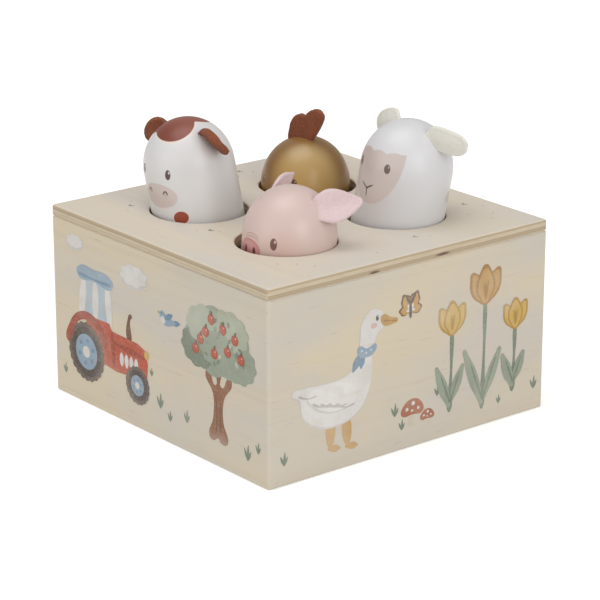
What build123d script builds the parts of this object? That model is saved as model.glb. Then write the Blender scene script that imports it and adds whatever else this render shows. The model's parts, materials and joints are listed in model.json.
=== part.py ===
from build123d import *
import os
from math import acos, atan, cos, degrees, hypot, radians, sin, sqrt, tan

# Pop-up animal toy: four turned wooden animal heads stand on coil springs in the round holes of a
# plywood box. A head is pushed down into its hole and springs up again, and wobbles in the hole.
# Millimetres and degrees. The origin is at the middle of the box's underside, +X to the right and
# +Y to the back seen from the front, +Z up. Every animal faces the front.

# ---- Box ----
box_width = 155.0  # along X, over the side panels
box_depth = 155.0  # along Y, over the front and back panels
box_height = 87.0  # from the surface it stands on to the top plate's upper face
panel_thickness = 8.0
top_thickness = 5.0
bottom_thickness = 4.0
corner_round = 1.6  # radius of the four standing edges
top_edge_round = 1.1  # radius along the upper edge of the top plate
seam_chamfer = 0.5  # bevels that make the groove between the top plate and the panels
foot_round = 0.6  # radius along the lower edge of the panels
bottom_fit = 0.15  # gap between the bottom plate and the panels around it
block_side = 14.0  # square section of the glue blocks in the corners

# ---- Holes in the top plate ----
hole_diameter = 44.0
hole_spacing_x = 61.2
hole_spacing_y = 61.2
hole_round = 0.7  # rounding of the hole's upper edge

# ---- Animal heads ----
head_clearance = 1.8  # between an upright head and its hole, all round
rim_gap = 0.3  # what stays open where a head leans against the rim of its hole
skirt_length = 14.5  # how far a head reaches below the top plate
skirt_chamfer = 1.0
press_travel = 20.0  # how far a head is pushed down
bore_clearance = 0.5  # between the bore's mouth and the spring at the lowest, most leaned position

# ---- Springs and the posts that carry them ----
spring_wire = 1.0
spring_diameter = 12.0  # middle of the wire
spring_turns = 11
spring_seat_gap = 0.2  # between the spring's ends and what they press on
spring_fit = 0.35  # between the spring's inside and the post's spigot
post_diameter = 26.0
post_height = 34.0
post_chamfer = 1.0
spigot_length = 8.0

# ---- Screws ----
screw_diameter = 3.5
screw_head_diameter = 7.0
screw_head_height = 2.2
screw_length = 22.0
screw_fit = 0.05  # gap round a screw in its hole
screw_tip = 3.0  # length of the pointed end
recess_length = 3.6  # the cross recess in a screw's head
recess_width = 0.8
recess_depth = 1.2

# ---- Felt ears and comb ----
felt_thickness = 2.5
ear_root_diameter = 5.0  # the ear's rolled root, glued into a drilled hole
ear_root_depth = 5.0
ear_root_reach = 2.0  # how far the rolled root stands out of the head
felt_clearance = 0.3  # between an ear's blade or the comb's lobes and the head
glue_gap = 0.05  # round a root or tab in its hole or slot

comb_turn = 12.0  # the comb stands across the head, turned this far from the head's own side
comb_forward = 1.2  # and this far in front of the crown
comb_tab_left = -5.5  # the comb's tab, along the comb
comb_tab_right = 3.5
comb_tab_depth = 6.0
# the comb's outline from its left foot over the left lobe to the notch, and from there over the
# right lobe to its right foot, along the comb and above the crown
comb_left_lobe = [(-8.0, -1.6), (-6.9, 3.6), (-4.4, 8.4), (-1.0, 10.3), (1.2, 9.9)]
comb_right_lobe = [(1.2, 9.9), (4.2, 12.4), (8.0, 13.7), (11.8, 11.2), (10.2, 6.4), (4.8, -1.6)]

# ---- The animals ----
# side: which hole, as signs along X and Y.  exposed: height above the top plate along the head's
# own axis.  lean_share: its lean at rest, as a share of the most that the hole allows.
# toward: direction of that lean, from +X towards +Y.  rim_share: how far the head has slid towards
# the rim on that side, 1 when it touches.
animals = {
    "cow": dict(side=(-1, -1), exposed=41.2, lean_share=0.745, toward=200.0, rim_share=1.0),
    "pig": dict(side=(1, -1), exposed=24.6, lean_share=0.360, toward=25.0, rim_share=1.0),
    "sheep": dict(side=(1, 1), exposed=43.9, lean_share=0.600, toward=29.0, rim_share=1.0),
    "chick": dict(side=(-1, 1), exposed=22.5, lean_share=0.065, toward=204.0, rim_share=0.55),
}

# ears, in the head's own directions.  root: angle from the crown down the side of the dome.
# reach: the direction from root to tip, as outwards, backwards and upwards.
# facing: roughly where the blade's flat side faces.  belly: where it is widest, along its length.
ears = {
    "cow_left": dict(side=1, root=46.0, reach=(0.90, 0.04, -0.43), facing=(0.24, 0.78, 0.58),
                     length=17.6, width=12.3, belly=0.50, pointed=False),
    "cow_right": dict(side=-1, root=30.0, reach=(0.93, 0.06, -0.37), facing=(0.11, 0.91, 0.41),
                      length=17.6, width=12.3, belly=0.50, pointed=False),
    "pig_left": dict(side=1, root=42.7, reach=(0.43, 0.88, 0.18), facing=(0.68, -0.46, 0.57),
                     length=21.2, width=15.0, belly=0.40, pointed=True),
    "pig_right": dict(side=-1, root=49.8, reach=(0.49, 0.87, 0.10), facing=(0.68, -0.45, 0.57),
                      length=21.2, width=15.0, belly=0.40, pointed=True),
    "sheep_left": dict(side=1, root=26.0, reach=(0.98, 0.20, -0.06), facing=(0.20, -0.98, -0.05),
                       length=19.2, width=10.4, belly=0.55, pointed=False),
    "sheep_right": dict(side=-1, root=26.0, reach=(0.89, 0.09, -0.45), facing=(0.10, -0.99, 0.0),
                        length=19.2, width=10.4, belly=0.55, pointed=False),
}

# ---- Worked out from the values above ----
panel_height = box_height - top_thickness
inner_width = box_width - 2 * panel_thickness
inner_depth = box_depth - 2 * panel_thickness
block_height = panel_height - bottom_thickness
block_spacing_x = inner_width - block_side
block_spacing_y = inner_depth - block_side

hole_radius = hole_diameter / 2
head_radius = hole_radius - head_clearance
half_plate = top_thickness / 2
pivot_height = box_height - half_plate  # a head wobbles about the middle of the plate's thickness
skirt_below_pivot = half_plate + skirt_length


def largest_lean(offset):
    """The most a head leans, either way, with its axis this far from the middle of its hole."""
    room = hole_radius - rim_gap - offset
    return degrees(acos(head_radius / hypot(room, half_plate)) - atan(half_plate / room))


def rest_lean(name):
    """The head's lean at rest."""
    return animals[name]["lean_share"] * largest_lean(0)


def rest_offset(name):
    """How far the head's axis lies from the middle of its hole at rest, towards its lean."""
    lean = radians(rest_lean(name))
    reach = head_radius / cos(lean) + half_plate * tan(lean)
    return animals[name]["rim_share"] * (hole_radius - rim_gap - reach)


most_lean = max(rest_lean(name) for name in animals)
bore_swing = (skirt_below_pivot + press_travel) * sin(radians(most_lean))
spring_radius = spring_diameter / 2
bore_radius = spring_radius + spring_wire / 2 + bore_swing + bore_clearance
spigot_diameter = spring_diameter - spring_wire - 2 * spring_fit

post_top = bottom_thickness + post_height
spring_end_radius = bore_radius - spring_wire / 2 - spring_seat_gap
spring_end_height = sqrt(spring_end_radius**2 - spring_radius**2)  # above the pivot


def hole_centre(name):
    side_x, side_y = animals[name]["side"]
    return Vector(side_x * hole_spacing_x / 2, side_y * hole_spacing_y / 2, 0)


def head_plane(name):
    """The head's own frame: origin at its pivot, x to its side, y to its back, z to its crown."""
    toward = radians(animals[name]["toward"])
    lean_direction = Vector(cos(toward), sin(toward), 0)
    lean_axis = Axis((0, 0, 0), (-sin(toward), cos(toward), 0))
    pivot = hole_centre(name) + lean_direction * rest_offset(name) + Vector(0, 0, pivot_height)
    side_direction = Vector(1, 0, 0).rotate(lean_axis, rest_lean(name))
    crown_direction = Vector(0, 0, 1).rotate(lean_axis, rest_lean(name))
    return Plane(origin=pivot, x_dir=side_direction, z_dir=crown_direction)


def crown_height(name):
    """The head's crown above its pivot, along its own axis."""
    return animals[name]["exposed"] + half_plate


def in_head(frame, point):
    """A direction given in the head's own frame, in the toy's frame."""
    return frame.x_dir * point[0] + frame.y_dir * point[1] + frame.z_dir * point[2]


def profile_plane(frame):
    """The plane through the head's axis on which its turned profile is drawn. It lies between the
    ears and the comb, so that the turned surface's seam meets neither."""
    return Plane(
        origin=frame.origin,
        x_dir=frame.x_dir + frame.y_dir,
        z_dir=frame.x_dir - frame.y_dir,
    )


def comb_plane(frame):
    """The upright plane across the head in which the comb stands, looked at from the front."""
    turn = radians(comb_turn)
    along = in_head(frame, (cos(turn), sin(turn), 0))
    forward = in_head(frame, (sin(turn), -cos(turn), 0))
    return Plane(origin=frame.origin + forward * comb_forward, x_dir=along, z_dir=forward)


def ear_root(name, ear):
    """The point on the dome where an ear's root enters, and the way straight out of it."""
    angle = radians(ears[ear]["root"])
    frame = head_plane(name)
    outward = in_head(frame, (ears[ear]["side"] * sin(angle), 0, cos(angle)))
    dome_middle = frame.origin + frame.z_dir * (crown_height(name) - head_radius)
    return dome_middle + outward * head_radius, outward


def ears_of(name):
    return [ear for ear in ears if ear.split("_")[0] == name]


def save(builder, name):
    builder.part.label = name
    export_step(builder.part, f"parts/{name}.step")


os.makedirs("parts", exist_ok=True)

# ---- Side panels: plywood, mitred at the standing edges ----
with BuildPart() as panel_envelope:
    with BuildSketch():
        RectangleRounded(box_width, box_depth, corner_round)
    extrude(amount=panel_height)
    fillet(panel_envelope.faces().sort_by(Axis.Z)[0].edges(), foot_round)
    chamfer(panel_envelope.faces().sort_by(Axis.Z)[-1].edges(), seam_chamfer)


def mitred_panel(name, outer_half, outer_offset, turn):
    """A panel with mitred ends. outer_half is half its length, outer_offset its outer face's
    distance from the middle of the box, and turn its direction, from the front."""
    with BuildPart() as panel:
        with BuildSketch(Plane.XY.rotated((0, 0, turn))):
            with BuildLine():
                Polyline(
                    (-outer_half, -outer_offset),
                    (outer_half, -outer_offset),
                    (outer_half - panel_thickness, panel_thickness - outer_offset),
                    (panel_thickness - outer_half, panel_thickness - outer_offset),
                    close=True,
                )
            make_face()
        extrude(amount=panel_height)
        add(panel_envelope.part, mode=Mode.INTERSECT)
    save(panel, name)


mitred_panel("front_panel", box_width / 2, box_depth / 2, 0)
mitred_panel("right_panel", box_depth / 2, box_width / 2, 90)
mitred_panel("back_panel", box_width / 2, box_depth / 2, 180)
mitred_panel("left_panel", box_depth / 2, box_width / 2, 270)

# ---- Top plate: plywood with four round holes ----
with BuildPart() as top_plate:
    with BuildSketch(Plane.XY.offset(panel_height)):
        RectangleRounded(box_width, box_depth, corner_round)
        with GridLocations(hole_spacing_x, hole_spacing_y, 2, 2):
            Circle(hole_radius, mode=Mode.SUBTRACT)
    extrude(amount=top_thickness)
    upper_face = top_plate.faces().sort_by(Axis.Z)[-1]
    lower_face = top_plate.faces().sort_by(Axis.Z)[0]
    fillet(upper_face.outer_wire().edges(), top_edge_round)
    chamfer(lower_face.outer_wire().edges(), seam_chamfer)
    hole_edges = top_plate.edges().filter_by(GeomType.CIRCLE).filter_by(
        lambda edge: abs(edge.radius - hole_radius) < 0.01
    )
    fillet(hole_edges.group_by(Axis.Z)[-1], hole_round)
save(top_plate, "top_plate")

# ---- Bottom plate, let in between the panels and screwed to the blocks and posts ----
underside = Plane(origin=(0, 0, 0), x_dir=(1, 0, 0), z_dir=(0, 0, -1))
screw_hole_radius = screw_diameter / 2 + screw_fit
screw_sink_radius = screw_head_diameter / 2 + screw_fit
screw_head_angle = 2 * degrees(atan((screw_head_diameter - screw_diameter) / 2 / screw_head_height))

with BuildPart() as bottom_plate:
    with BuildSketch():
        Rectangle(inner_width - 2 * bottom_fit, inner_depth - 2 * bottom_fit)
    extrude(amount=bottom_thickness)
    with Locations(underside.location):
        with GridLocations(block_spacing_x, block_spacing_y, 2, 2):
            CounterSinkHole(
                screw_hole_radius, screw_sink_radius, counter_sink_angle=screw_head_angle
            )
        with GridLocations(hole_spacing_x, hole_spacing_y, 2, 2):
            CounterSinkHole(
                screw_hole_radius, screw_sink_radius, counter_sink_angle=screw_head_angle
            )
save(bottom_plate, "bottom_plate")


# ---- Screws: countersunk, with a cross recess ----
def screw_set(name, spacing_x, spacing_y):
    """Four screws driven up from the underside, at the corners of a rectangle."""
    with BuildPart() as screws:
        for x in (-spacing_x / 2, spacing_x / 2):
            for y in (-spacing_y / 2, spacing_y / 2):
                with BuildSketch(Plane(origin=(x, y, 0), x_dir=(1, 0, 0), z_dir=(0, -1, 0))):
                    with BuildLine():
                        Polyline(
                            (0, 0),
                            (screw_head_diameter / 2, 0),
                            (screw_diameter / 2, screw_head_height),
                            (screw_diameter / 2, screw_length - screw_tip),
                            (0, screw_length),
                            close=True,
                        )
                    make_face()
                revolve(axis=Axis((x, y, 0), (0, 0, 1)))
        with GridLocations(spacing_x, spacing_y, 2, 2):
            Box(recess_length, recess_width, 2 * recess_depth, mode=Mode.SUBTRACT)
            Box(recess_width, recess_length, 2 * recess_depth, mode=Mode.SUBTRACT)
    save(screws, name)


screw_set("block_screws", block_spacing_x, block_spacing_y)
screw_set("post_screws", hole_spacing_x, hole_spacing_y)

pilot_depth = screw_length - bottom_thickness + screw_fit  # how far a screw reaches above the plate

# ---- Glue blocks in the four corners ----
corners = {
    "front_left": (-1, -1),
    "front_right": (1, -1),
    "back_left": (-1, 1),
    "back_right": (1, 1),
}
for corner, (side_x, side_y) in corners.items():
    block_centre = (side_x * block_spacing_x / 2, side_y * block_spacing_y / 2)
    with BuildPart() as block:
        with BuildSketch(Plane.XY.offset(bottom_thickness)):
            with Locations(block_centre):
                Rectangle(block_side, block_side)
        extrude(amount=block_height)
        with BuildSketch(Plane.XY.offset(bottom_thickness)):
            with Locations(block_centre):
                Circle(screw_hole_radius)
        extrude(amount=pilot_depth, mode=Mode.SUBTRACT)
    save(block, f"{corner}_block")

# ---- Spring posts: turned, with a spigot that the spring's lower coils grip ----
for name in animals:
    centre = hole_centre(name)
    with BuildPart() as post:
        with BuildSketch(Plane(origin=centre, x_dir=(1, 0, 0), z_dir=(0, -1, 0))):
            with BuildLine():
                Polyline(
                    (0, bottom_thickness + pilot_depth),
                    (screw_hole_radius, bottom_thickness + pilot_depth),
                    (screw_hole_radius, bottom_thickness),
                    (post_diameter / 2, bottom_thickness),
                    (post_diameter / 2, post_top - post_chamfer),
                    (post_diameter / 2 - post_chamfer, post_top),
                    (spigot_diameter / 2, post_top),
                    (spigot_diameter / 2, post_top + spigot_length - post_chamfer),
                    (spigot_diameter / 2 - post_chamfer, post_top + spigot_length),
                    (0, post_top + spigot_length),
                    close=True,
                )
            make_face()
        revolve(axis=Axis(tuple(centre), (0, 0, 1)))
    save(post, f"{name}_spring_post")

# ---- Springs: from the post up into the rounded end of the head's bore ----
for name in animals:
    spring_foot = hole_centre(name) + Vector(0, 0, post_top + spring_wire / 2 + spring_seat_gap)
    spring_head = head_plane(name).origin + Vector(0, 0, spring_end_height)
    spring_line = spring_head - spring_foot
    with BuildPart() as spring:
        with BuildLine() as coil:
            Helix(
                pitch=spring_line.length / spring_turns,
                height=spring_line.length,
                radius=spring_radius,
                center=spring_foot,
                direction=spring_line,
            )
        with BuildSketch(Plane(origin=coil.line @ 0, z_dir=coil.line % 0)):
            Circle(spring_wire / 2)
        sweep(is_frenet=True)
    save(spring, f"{name}_spring")


# ---- Heads: turned beech with a domed crown, bored from below for the spring ----
def turned_head(name):
    frame = head_plane(name)
    crown = crown_height(name)
    with BuildPart() as head:
        with BuildSketch(profile_plane(frame)):
            with BuildLine():
                Line((0, bore_radius), (0, crown))
                CenterArc((0, crown - head_radius), head_radius, 0, 90)
                Polyline(
                    (head_radius, crown - head_radius),
                    (head_radius, skirt_chamfer - skirt_below_pivot),
                    (head_radius - skirt_chamfer, -skirt_below_pivot),
                    (bore_radius, -skirt_below_pivot),
                    (bore_radius, 0),
                )
                CenterArc((0, 0), bore_radius, 0, 90)
            make_face()
        revolve(axis=Axis(tuple(frame.origin), tuple(frame.z_dir)))
        for ear in ears_of(name):
            root, outward = ear_root(name, ear)
            hole_depth = ear_root_depth + glue_gap
            with BuildSketch(Plane(origin=root - outward * hole_depth, z_dir=outward)):
                Circle(ear_root_diameter / 2 + glue_gap)
            extrude(amount=hole_depth + ear_root_reach, mode=Mode.SUBTRACT)
        if name == "chick":
            tab_middle = (comb_tab_left + comb_tab_right) / 2
            with BuildSketch(comb_plane(frame)):
                with Locations((tab_middle, crown)):
                    Rectangle(
                        comb_tab_right - comb_tab_left + 2 * glue_gap,
                        2 * (comb_tab_depth + glue_gap),
                    )
            extrude(amount=felt_thickness / 2 + glue_gap, both=True, mode=Mode.SUBTRACT)
    save(head, f"{name}_head")


for name in animals:
    turned_head(name)


# ---- Felt ears: a blade on a rolled root ----
def head_blank(name):
    """The outside of a head with the felt's clearance round it, to trim the felt against."""
    frame = head_plane(name)
    dome_foot = crown_height(name) - head_radius
    across = head_radius + felt_clearance
    with BuildPart() as blank:
        with BuildSketch(profile_plane(frame)):
            with BuildLine():
                Polyline((0, dome_foot + across), (0, 0), (across, 0), (across, dome_foot))
                CenterArc((0, dome_foot), across, 0, 90)
            make_face()
        revolve(axis=Axis(tuple(frame.origin), tuple(frame.z_dir)))
    return blank.part


def felt_ear(name, ear):
    shape = ears[ear]
    frame = head_plane(name)
    root, outward = ear_root(name, ear)
    out, back, up = shape["reach"]
    reach = in_head(frame, (shape["side"] * out, back, up)).normalized()
    face_out, face_back, face_up = shape["facing"]
    facing = in_head(frame, (shape["side"] * face_out, face_back, face_up))
    facing = (facing - reach * facing.dot(reach)).normalized()
    length = shape["length"]
    half_width = shape["width"] / 2
    half_root = ear_root_diameter / 2
    belly = shape["belly"] * length
    blade_start = root + outward * (ear_root_reach / 2)
    trim = head_blank(name)
    with BuildPart() as blade:
        with BuildSketch(Plane(origin=blade_start, x_dir=reach, z_dir=facing)):
            with BuildLine():
                if shape["pointed"]:
                    Spline((0, half_root), (belly, half_width), (length, 0))
                    Spline((length, 0), (belly, -half_width), (0, -half_root))
                else:
                    Spline(
                        (0, half_root),
                        (belly, half_width),
                        (length, 0),
                        (belly, -half_width),
                        (0, -half_root),
                    )
                Line((0, -half_root), (0, half_root))
            make_face()
        extrude(amount=felt_thickness / 2, both=True)
        add(trim, mode=Mode.SUBTRACT)
        with BuildSketch(Plane(origin=root - outward * ear_root_depth, z_dir=outward)):
            Circle(half_root)
        extrude(amount=ear_root_depth + ear_root_reach)
    save(blade, f"{ear}_ear")


for name in animals:
    for ear in ears_of(name):
        felt_ear(name, ear)

# ---- The chick's comb: a two-lobed piece of felt, its tab in a slot across the crown ----
chick_frame = head_plane("chick")
chick_crown = crown_height("chick")

with BuildPart() as comb:
    with BuildSketch(comb_plane(chick_frame)):
        with BuildLine():
            left_lobe = Spline(*[(along, chick_crown + above) for along, above in comb_left_lobe])
            right_lobe = Spline(*[(along, chick_crown + above) for along, above in comb_right_lobe])
            Line(right_lobe @ 1, left_lobe @ 0)
        make_face()
    extrude(amount=felt_thickness / 2, both=True)
    add(head_blank("chick"), mode=Mode.SUBTRACT)
    with BuildSketch(comb_plane(chick_frame)):
        with Locations(((comb_tab_left + comb_tab_right) / 2, chick_crown)):
            Rectangle(comb_tab_right - comb_tab_left, 2 * comb_tab_depth)
        with Locations((0, chick_crown + felt_clearance)):
            Rectangle(
                2 * head_radius, 2 * comb_tab_depth, align=(Align.CENTER, Align.MIN), mode=Mode.SUBTRACT
            )
    extrude(amount=felt_thickness / 2, both=True)
save(comb, "chick_comb")

# ---- What the joints need ----
for name in animals:
    frame = head_plane(name)
    offset = rest_offset(name)
    print(
        name,
        "pivot",
        [round(value, 3) for value in tuple(frame.origin)],
        "axis",
        [round(value, 5) for value in tuple(frame.z_dir)],
        "leans",
        round(rest_lean(name), 3),
        "back",
        round(largest_lean(offset), 3),
        "offset",
        round(offset, 3),
    )
print("bore radius", round(bore_radius, 2), "head radius", round(head_radius, 2))
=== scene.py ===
# %% [markdown]
# # A pop-up animal toy
# Four painted wooden heads stand on springs in a plywood box, and each can be pushed down and let go.
# The solids come in first, as a frame that fixes every size and every joint. The pieces made here are
# built round that frame, in metres, with the floor at height 0 and the animals looking along -Y.

# %% Frame
import json
import math
import random

import bpy
from mathutils import Matrix, Vector


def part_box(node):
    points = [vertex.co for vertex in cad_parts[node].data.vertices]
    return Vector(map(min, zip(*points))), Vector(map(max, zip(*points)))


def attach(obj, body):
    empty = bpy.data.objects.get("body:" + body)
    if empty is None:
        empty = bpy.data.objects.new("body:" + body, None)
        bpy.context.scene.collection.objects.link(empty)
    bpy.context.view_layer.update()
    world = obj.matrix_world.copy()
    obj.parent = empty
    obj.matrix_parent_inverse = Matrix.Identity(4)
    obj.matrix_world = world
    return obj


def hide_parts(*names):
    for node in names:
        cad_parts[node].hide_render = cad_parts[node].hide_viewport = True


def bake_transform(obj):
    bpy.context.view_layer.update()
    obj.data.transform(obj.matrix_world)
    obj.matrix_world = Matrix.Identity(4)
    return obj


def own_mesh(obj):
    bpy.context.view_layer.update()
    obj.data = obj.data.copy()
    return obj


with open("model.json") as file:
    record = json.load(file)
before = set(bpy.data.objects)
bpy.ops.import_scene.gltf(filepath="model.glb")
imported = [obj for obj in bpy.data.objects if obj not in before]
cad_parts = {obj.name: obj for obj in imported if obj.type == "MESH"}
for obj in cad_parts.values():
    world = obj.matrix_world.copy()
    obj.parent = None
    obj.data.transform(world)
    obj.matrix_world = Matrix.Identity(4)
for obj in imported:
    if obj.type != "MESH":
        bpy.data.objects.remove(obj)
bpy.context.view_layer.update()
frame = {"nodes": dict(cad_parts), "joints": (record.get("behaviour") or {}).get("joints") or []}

MM = 0.001
joints = {joint["name"]: joint for joint in frame["joints"]}
bpy.ops.object.select_all(action="DESELECT")

# %% [markdown]
# ## Colours and finishes
# Paint chips are given as screen colours, so they are turned into linear light once, here. A finish is
# a material that is built node by node. The small class below keeps that short: it adds a node, sets or
# links its sockets, and offers the few mixtures that wood, paint and felt all need.


# %% Colour chips
def chip(code):
    """A screen colour such as "c9b8a0" as linear red, green, blue and alpha."""
    values = [int(code[i : i + 2], 16) / 255 for i in (0, 2, 4)]
    linear = [v / 12.92 if v <= 0.04045 else ((v + 0.055) / 1.055) ** 2.4 for v in values]
    return (*linear, 1.0)


# %% Finish builder
class Finish:
    """A material under construction, with its Principled shader."""

    def __init__(self, name, roughness, specular=0.5):
        self.material = bpy.data.materials.new(name)
        self.material.use_nodes = True
        self.tree = self.material.node_tree
        self.shader = self.tree.nodes["Principled BSDF"]
        self.shader.inputs["Roughness"].default_value = roughness
        self.shader.inputs["Specular IOR Level"].default_value = specular

    def put(self, socket, value):
        if isinstance(value, bpy.types.NodeSocket):
            self.tree.links.new(value, socket)
        else:
            socket.default_value = value

    def add(self, kind, inputs, **settings):
        node = self.tree.nodes.new("ShaderNode" + kind)
        for key, value in settings.items():
            setattr(node, key, value)
        for key, value in inputs.items():
            self.put(node.inputs[key], value)
        return node

    def place(self, scale=(1, 1, 1), move=(0, 0, 0), turn=(0, 0, 0)):
        """Object coordinates, stretched or moved."""
        here = self.add("TexCoord", {}).outputs["Object"]
        inputs = {"Vector": here, "Location": move, "Rotation": turn, "Scale": scale}
        return self.add("Mapping", inputs).outputs[0]

    def unwrapped(self, name):
        return self.add("UVMap", {}, uv_map=name).outputs[0]

    def noise(self, vector, scale, detail=3.0, roughness=0.5, twist=0.0):
        inputs = {"Vector": vector, "Scale": scale, "Detail": detail}
        inputs.update({"Roughness": roughness, "Distortion": twist})
        return self.add("TexNoise", inputs).outputs[0]

    def math(self, operation, a, b=0.0, clamp=False):
        node = self.add("Math", {0: a, 1: b}, operation=operation, use_clamp=clamp)
        return node.outputs[0]

    def ease(self, value, low, high, start=0.0, end=1.0):
        """Goes smoothly from start to end while the value goes from low to high."""
        inputs = {0: value, 1: low, 2: high, 3: start, 4: end}
        return self.add("MapRange", inputs, interpolation_type="SMOOTHSTEP").outputs[0]

    def mix(self, share, below, above, blend="MIX"):
        inputs = {0: share, 6: below, 7: above}
        return self.add("Mix", inputs, data_type="RGBA", blend_type=blend).outputs[2]

    def axis(self, vector, letter):
        return self.add("SeparateXYZ", {0: vector}).outputs[letter]

    def reach(self, vector, at, size, turn=0.0):
        """0 in an oval's middle, 1 on its outline, more outside. size: half its width and height."""
        inputs = {"Vector": vector, "Location": (*at, 0), "Scale": (*size, 1)}
        inputs["Rotation"] = (0, 0, math.radians(turn))
        inside = self.add("Mapping", inputs, vector_type="TEXTURE").outputs[0]
        flat = self.add("VectorMath", {0: inside, 1: (1, 1, 0)}, operation="MULTIPLY").outputs[0]
        return self.add("VectorMath", {0: flat}, operation="LENGTH").outputs["Value"]

    def spot(self, vector, at, size, turn=0.0, soft=0.1):
        """1 inside an oval and 0 outside, with a soft edge."""
        return self.ease(self.reach(vector, at, size, turn), 1 + soft, 1 - soft)

    def bump(self, height, strength, distance):
        inputs = {"Height": height, "Strength": strength, "Distance": distance}
        self.put(self.shader.inputs["Normal"], self.add("Bump", inputs).outputs[0])

    def colour(self, value):
        self.put(self.shader.inputs["Base Color"], value)
        return self.material


# %% [markdown]
# ## Plywood
# Birch plywood shows a pale face veneer with long, faint grain, warmer and cooler patches, and a few
# darker flecks. A board's edge shows its plies as stripes. One recipe serves the front and the sides,
# with the grain along X or Y. The top plate adds the stripes wherever its surface is upright, measured
# by height, so they also line the four holes.

# %% Plywood
birch = chip("d6cdbe")
birch_warm = chip("dbcdb2")
birch_grey = chip("d1c9bc")
birch_line = chip("c2b29b")


def birch_face(finish, along):
    """The face veneer's colour and its fine grain, which run along X or Y."""
    long, across = 7, 260
    stretch = (long, across, across) if along == "X" else (across, long, across)
    grain = finish.noise(finish.place(stretch), 1.0, 6, 0.62, 0.4)
    broad = tuple(value / 9 for value in stretch)
    figure = finish.noise(finish.place(broad, (3, 1, 2)), 1.0, 3, 0.55, 1.2)
    patch_stretch = (9, 26, 26) if along == "X" else (26, 9, 26)
    cloud = finish.noise(finish.place(patch_stretch), 1.0, 4, 0.55, 0.6)
    tone = finish.mix(finish.ease(cloud, 0.36, 0.64), birch_warm, birch_grey)
    tone = finish.mix(finish.ease(figure, 0.35, 0.7, 0, 0.6), tone, birch)
    lines = finish.ease(grain, 0.50, 0.80, 0, 0.30)
    tone = finish.mix(lines, tone, birch_line)
    fleck_stretch = tuple(value * (5 if value > 100 else 12) for value in stretch)
    fleck = finish.noise(finish.place(fleck_stretch, (5, 2, 7)), 1.0, 1, 0.4)
    tone = finish.mix(finish.ease(fleck, 0.70, 0.80, 0, 0.5), tone, birch_line)
    return tone, grain


def panel_finish(name, along):
    finish = Finish(name, roughness=0.55, specular=0.35)
    tone, grain = birch_face(finish, along)
    finish.bump(grain, 0.12, 0.0002)
    return finish.colour(tone)


def dress(node, material):
    """Gives a solid of the frame its finish."""
    piece = frame["nodes"][node]
    if not piece.material_slots:
        piece.data.materials.append(None)
    for place in piece.material_slots:
        place.link = "OBJECT"
        place.material = material


boards = {"X": ("front_panel", "back_panel", "bottom_plate"), "Y": ("left_panel", "right_panel")}
for along, nodes in boards.items():
    plywood = panel_finish("birch plywood along " + along, along)
    for node in nodes:
        dress(node, plywood)
    print(plywood.name, "on", ", ".join(nodes))

# %% Ply stripes on the top plate
plate_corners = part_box("top_plate")
plate_low, plate_high = (corner.z for corner in plate_corners)
ply_light = chip("d3c4a9")
ply_cross = chip("bba88b")
ply_glue = chip("a8937a")
knot = chip("5d4233")
# (height as a share of the plate's thickness, colour) of each change of ply. Every second ply runs
# across, so an edge that shows the end grain of some plies shows the long grain of the others.
edge_along_x = [(0.10, ply_light), (0.13, ply_glue), (0.17, ply_light), (0.30, ply_light)]
edge_along_x += [(0.33, ply_glue), (0.37, ply_light), (0.58, ply_light), (0.63, ply_glue)]
edge_along_x += [(0.72, ply_cross), (0.90, ply_cross), (0.97, ply_light)]
edge_along_y = [(0.10, ply_light), (0.14, ply_glue), (0.20, ply_cross), (0.36, ply_cross)]
edge_along_y += [(0.41, ply_glue), (0.46, ply_light), (0.74, ply_light), (0.79, ply_cross)]
edge_along_y += [(0.90, ply_cross), (0.96, ply_light)]
# places of dark knots in the plies, in metres, and their half lengths along the edge
edge_knots = [((0.0775, 0.0164, 0.0834), 0.0042), ((0.0775, -0.0215, 0.0829), 0.003)]


# %% Finish of the top plate
def ply_stripes(finish, level, changes):
    stripes = finish.add("ValToRGB", {0: level})
    ramp = stripes.color_ramp
    ramp.elements[0].color = ply_light
    ramp.elements[1].color = birch
    for position, tone in changes:
        ramp.elements.new(position).color = tone
    return stripes.outputs[0]


def top_plate_finish():
    finish = Finish("birch plywood, top plate", roughness=0.52, specular=0.35)
    face, grain = birch_face(finish, "X")
    place = finish.place()
    height = finish.axis(place, "Z")
    sway = finish.math("MULTIPLY", finish.noise(finish.place((30, 30, 4)), 1.0, 2), 0.12)
    level = finish.math("SUBTRACT", height, plate_low)
    level = finish.math("DIVIDE", level, plate_high - plate_low)
    level = finish.math("ADD", level, finish.math("SUBTRACT", sway, 0.06))
    normal = finish.add("NewGeometry", {}).outputs["Normal"]
    sideways = finish.math("ABSOLUTE", finish.axis(normal, "X"))
    stripes = finish.mix(
        finish.ease(sideways, 0.45, 0.85),
        ply_stripes(finish, level, edge_along_x),
        ply_stripes(finish, level, edge_along_y),
    )
    fibre = finish.noise(finish.place((160, 160, 900)), 1.0, 4, 0.6)
    edge = finish.mix(finish.ease(fibre, 0.35, 0.75, 0, 0.4), stripes, ply_cross)
    for middle, half_length in edge_knots:
        inputs = {"Vector": place, "Location": middle, "Scale": (0.002, half_length, 0.0007)}
        away = finish.add("Mapping", inputs, vector_type="TEXTURE").outputs[0]
        far = finish.add("VectorMath", {0: away}, operation="LENGTH").outputs["Value"]
        edge = finish.mix(finish.ease(far, 1.3, 0.4, 0, 0.85), edge, knot)
    face = finish.mix(0.3, face, chip("e2dad3"))
    upright = finish.ease(finish.math("ABSOLUTE", finish.axis(normal, "Z")), 0.85, 0.55)
    finish.bump(grain, 0.12, 0.0002)
    return finish.colour(finish.mix(upright, face, edge))


dress("top_plate", top_plate_finish())
print("top plate", round((plate_high - plate_low) / MM, 1), "mm thick,", len(edge_knots), "knots")

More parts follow.
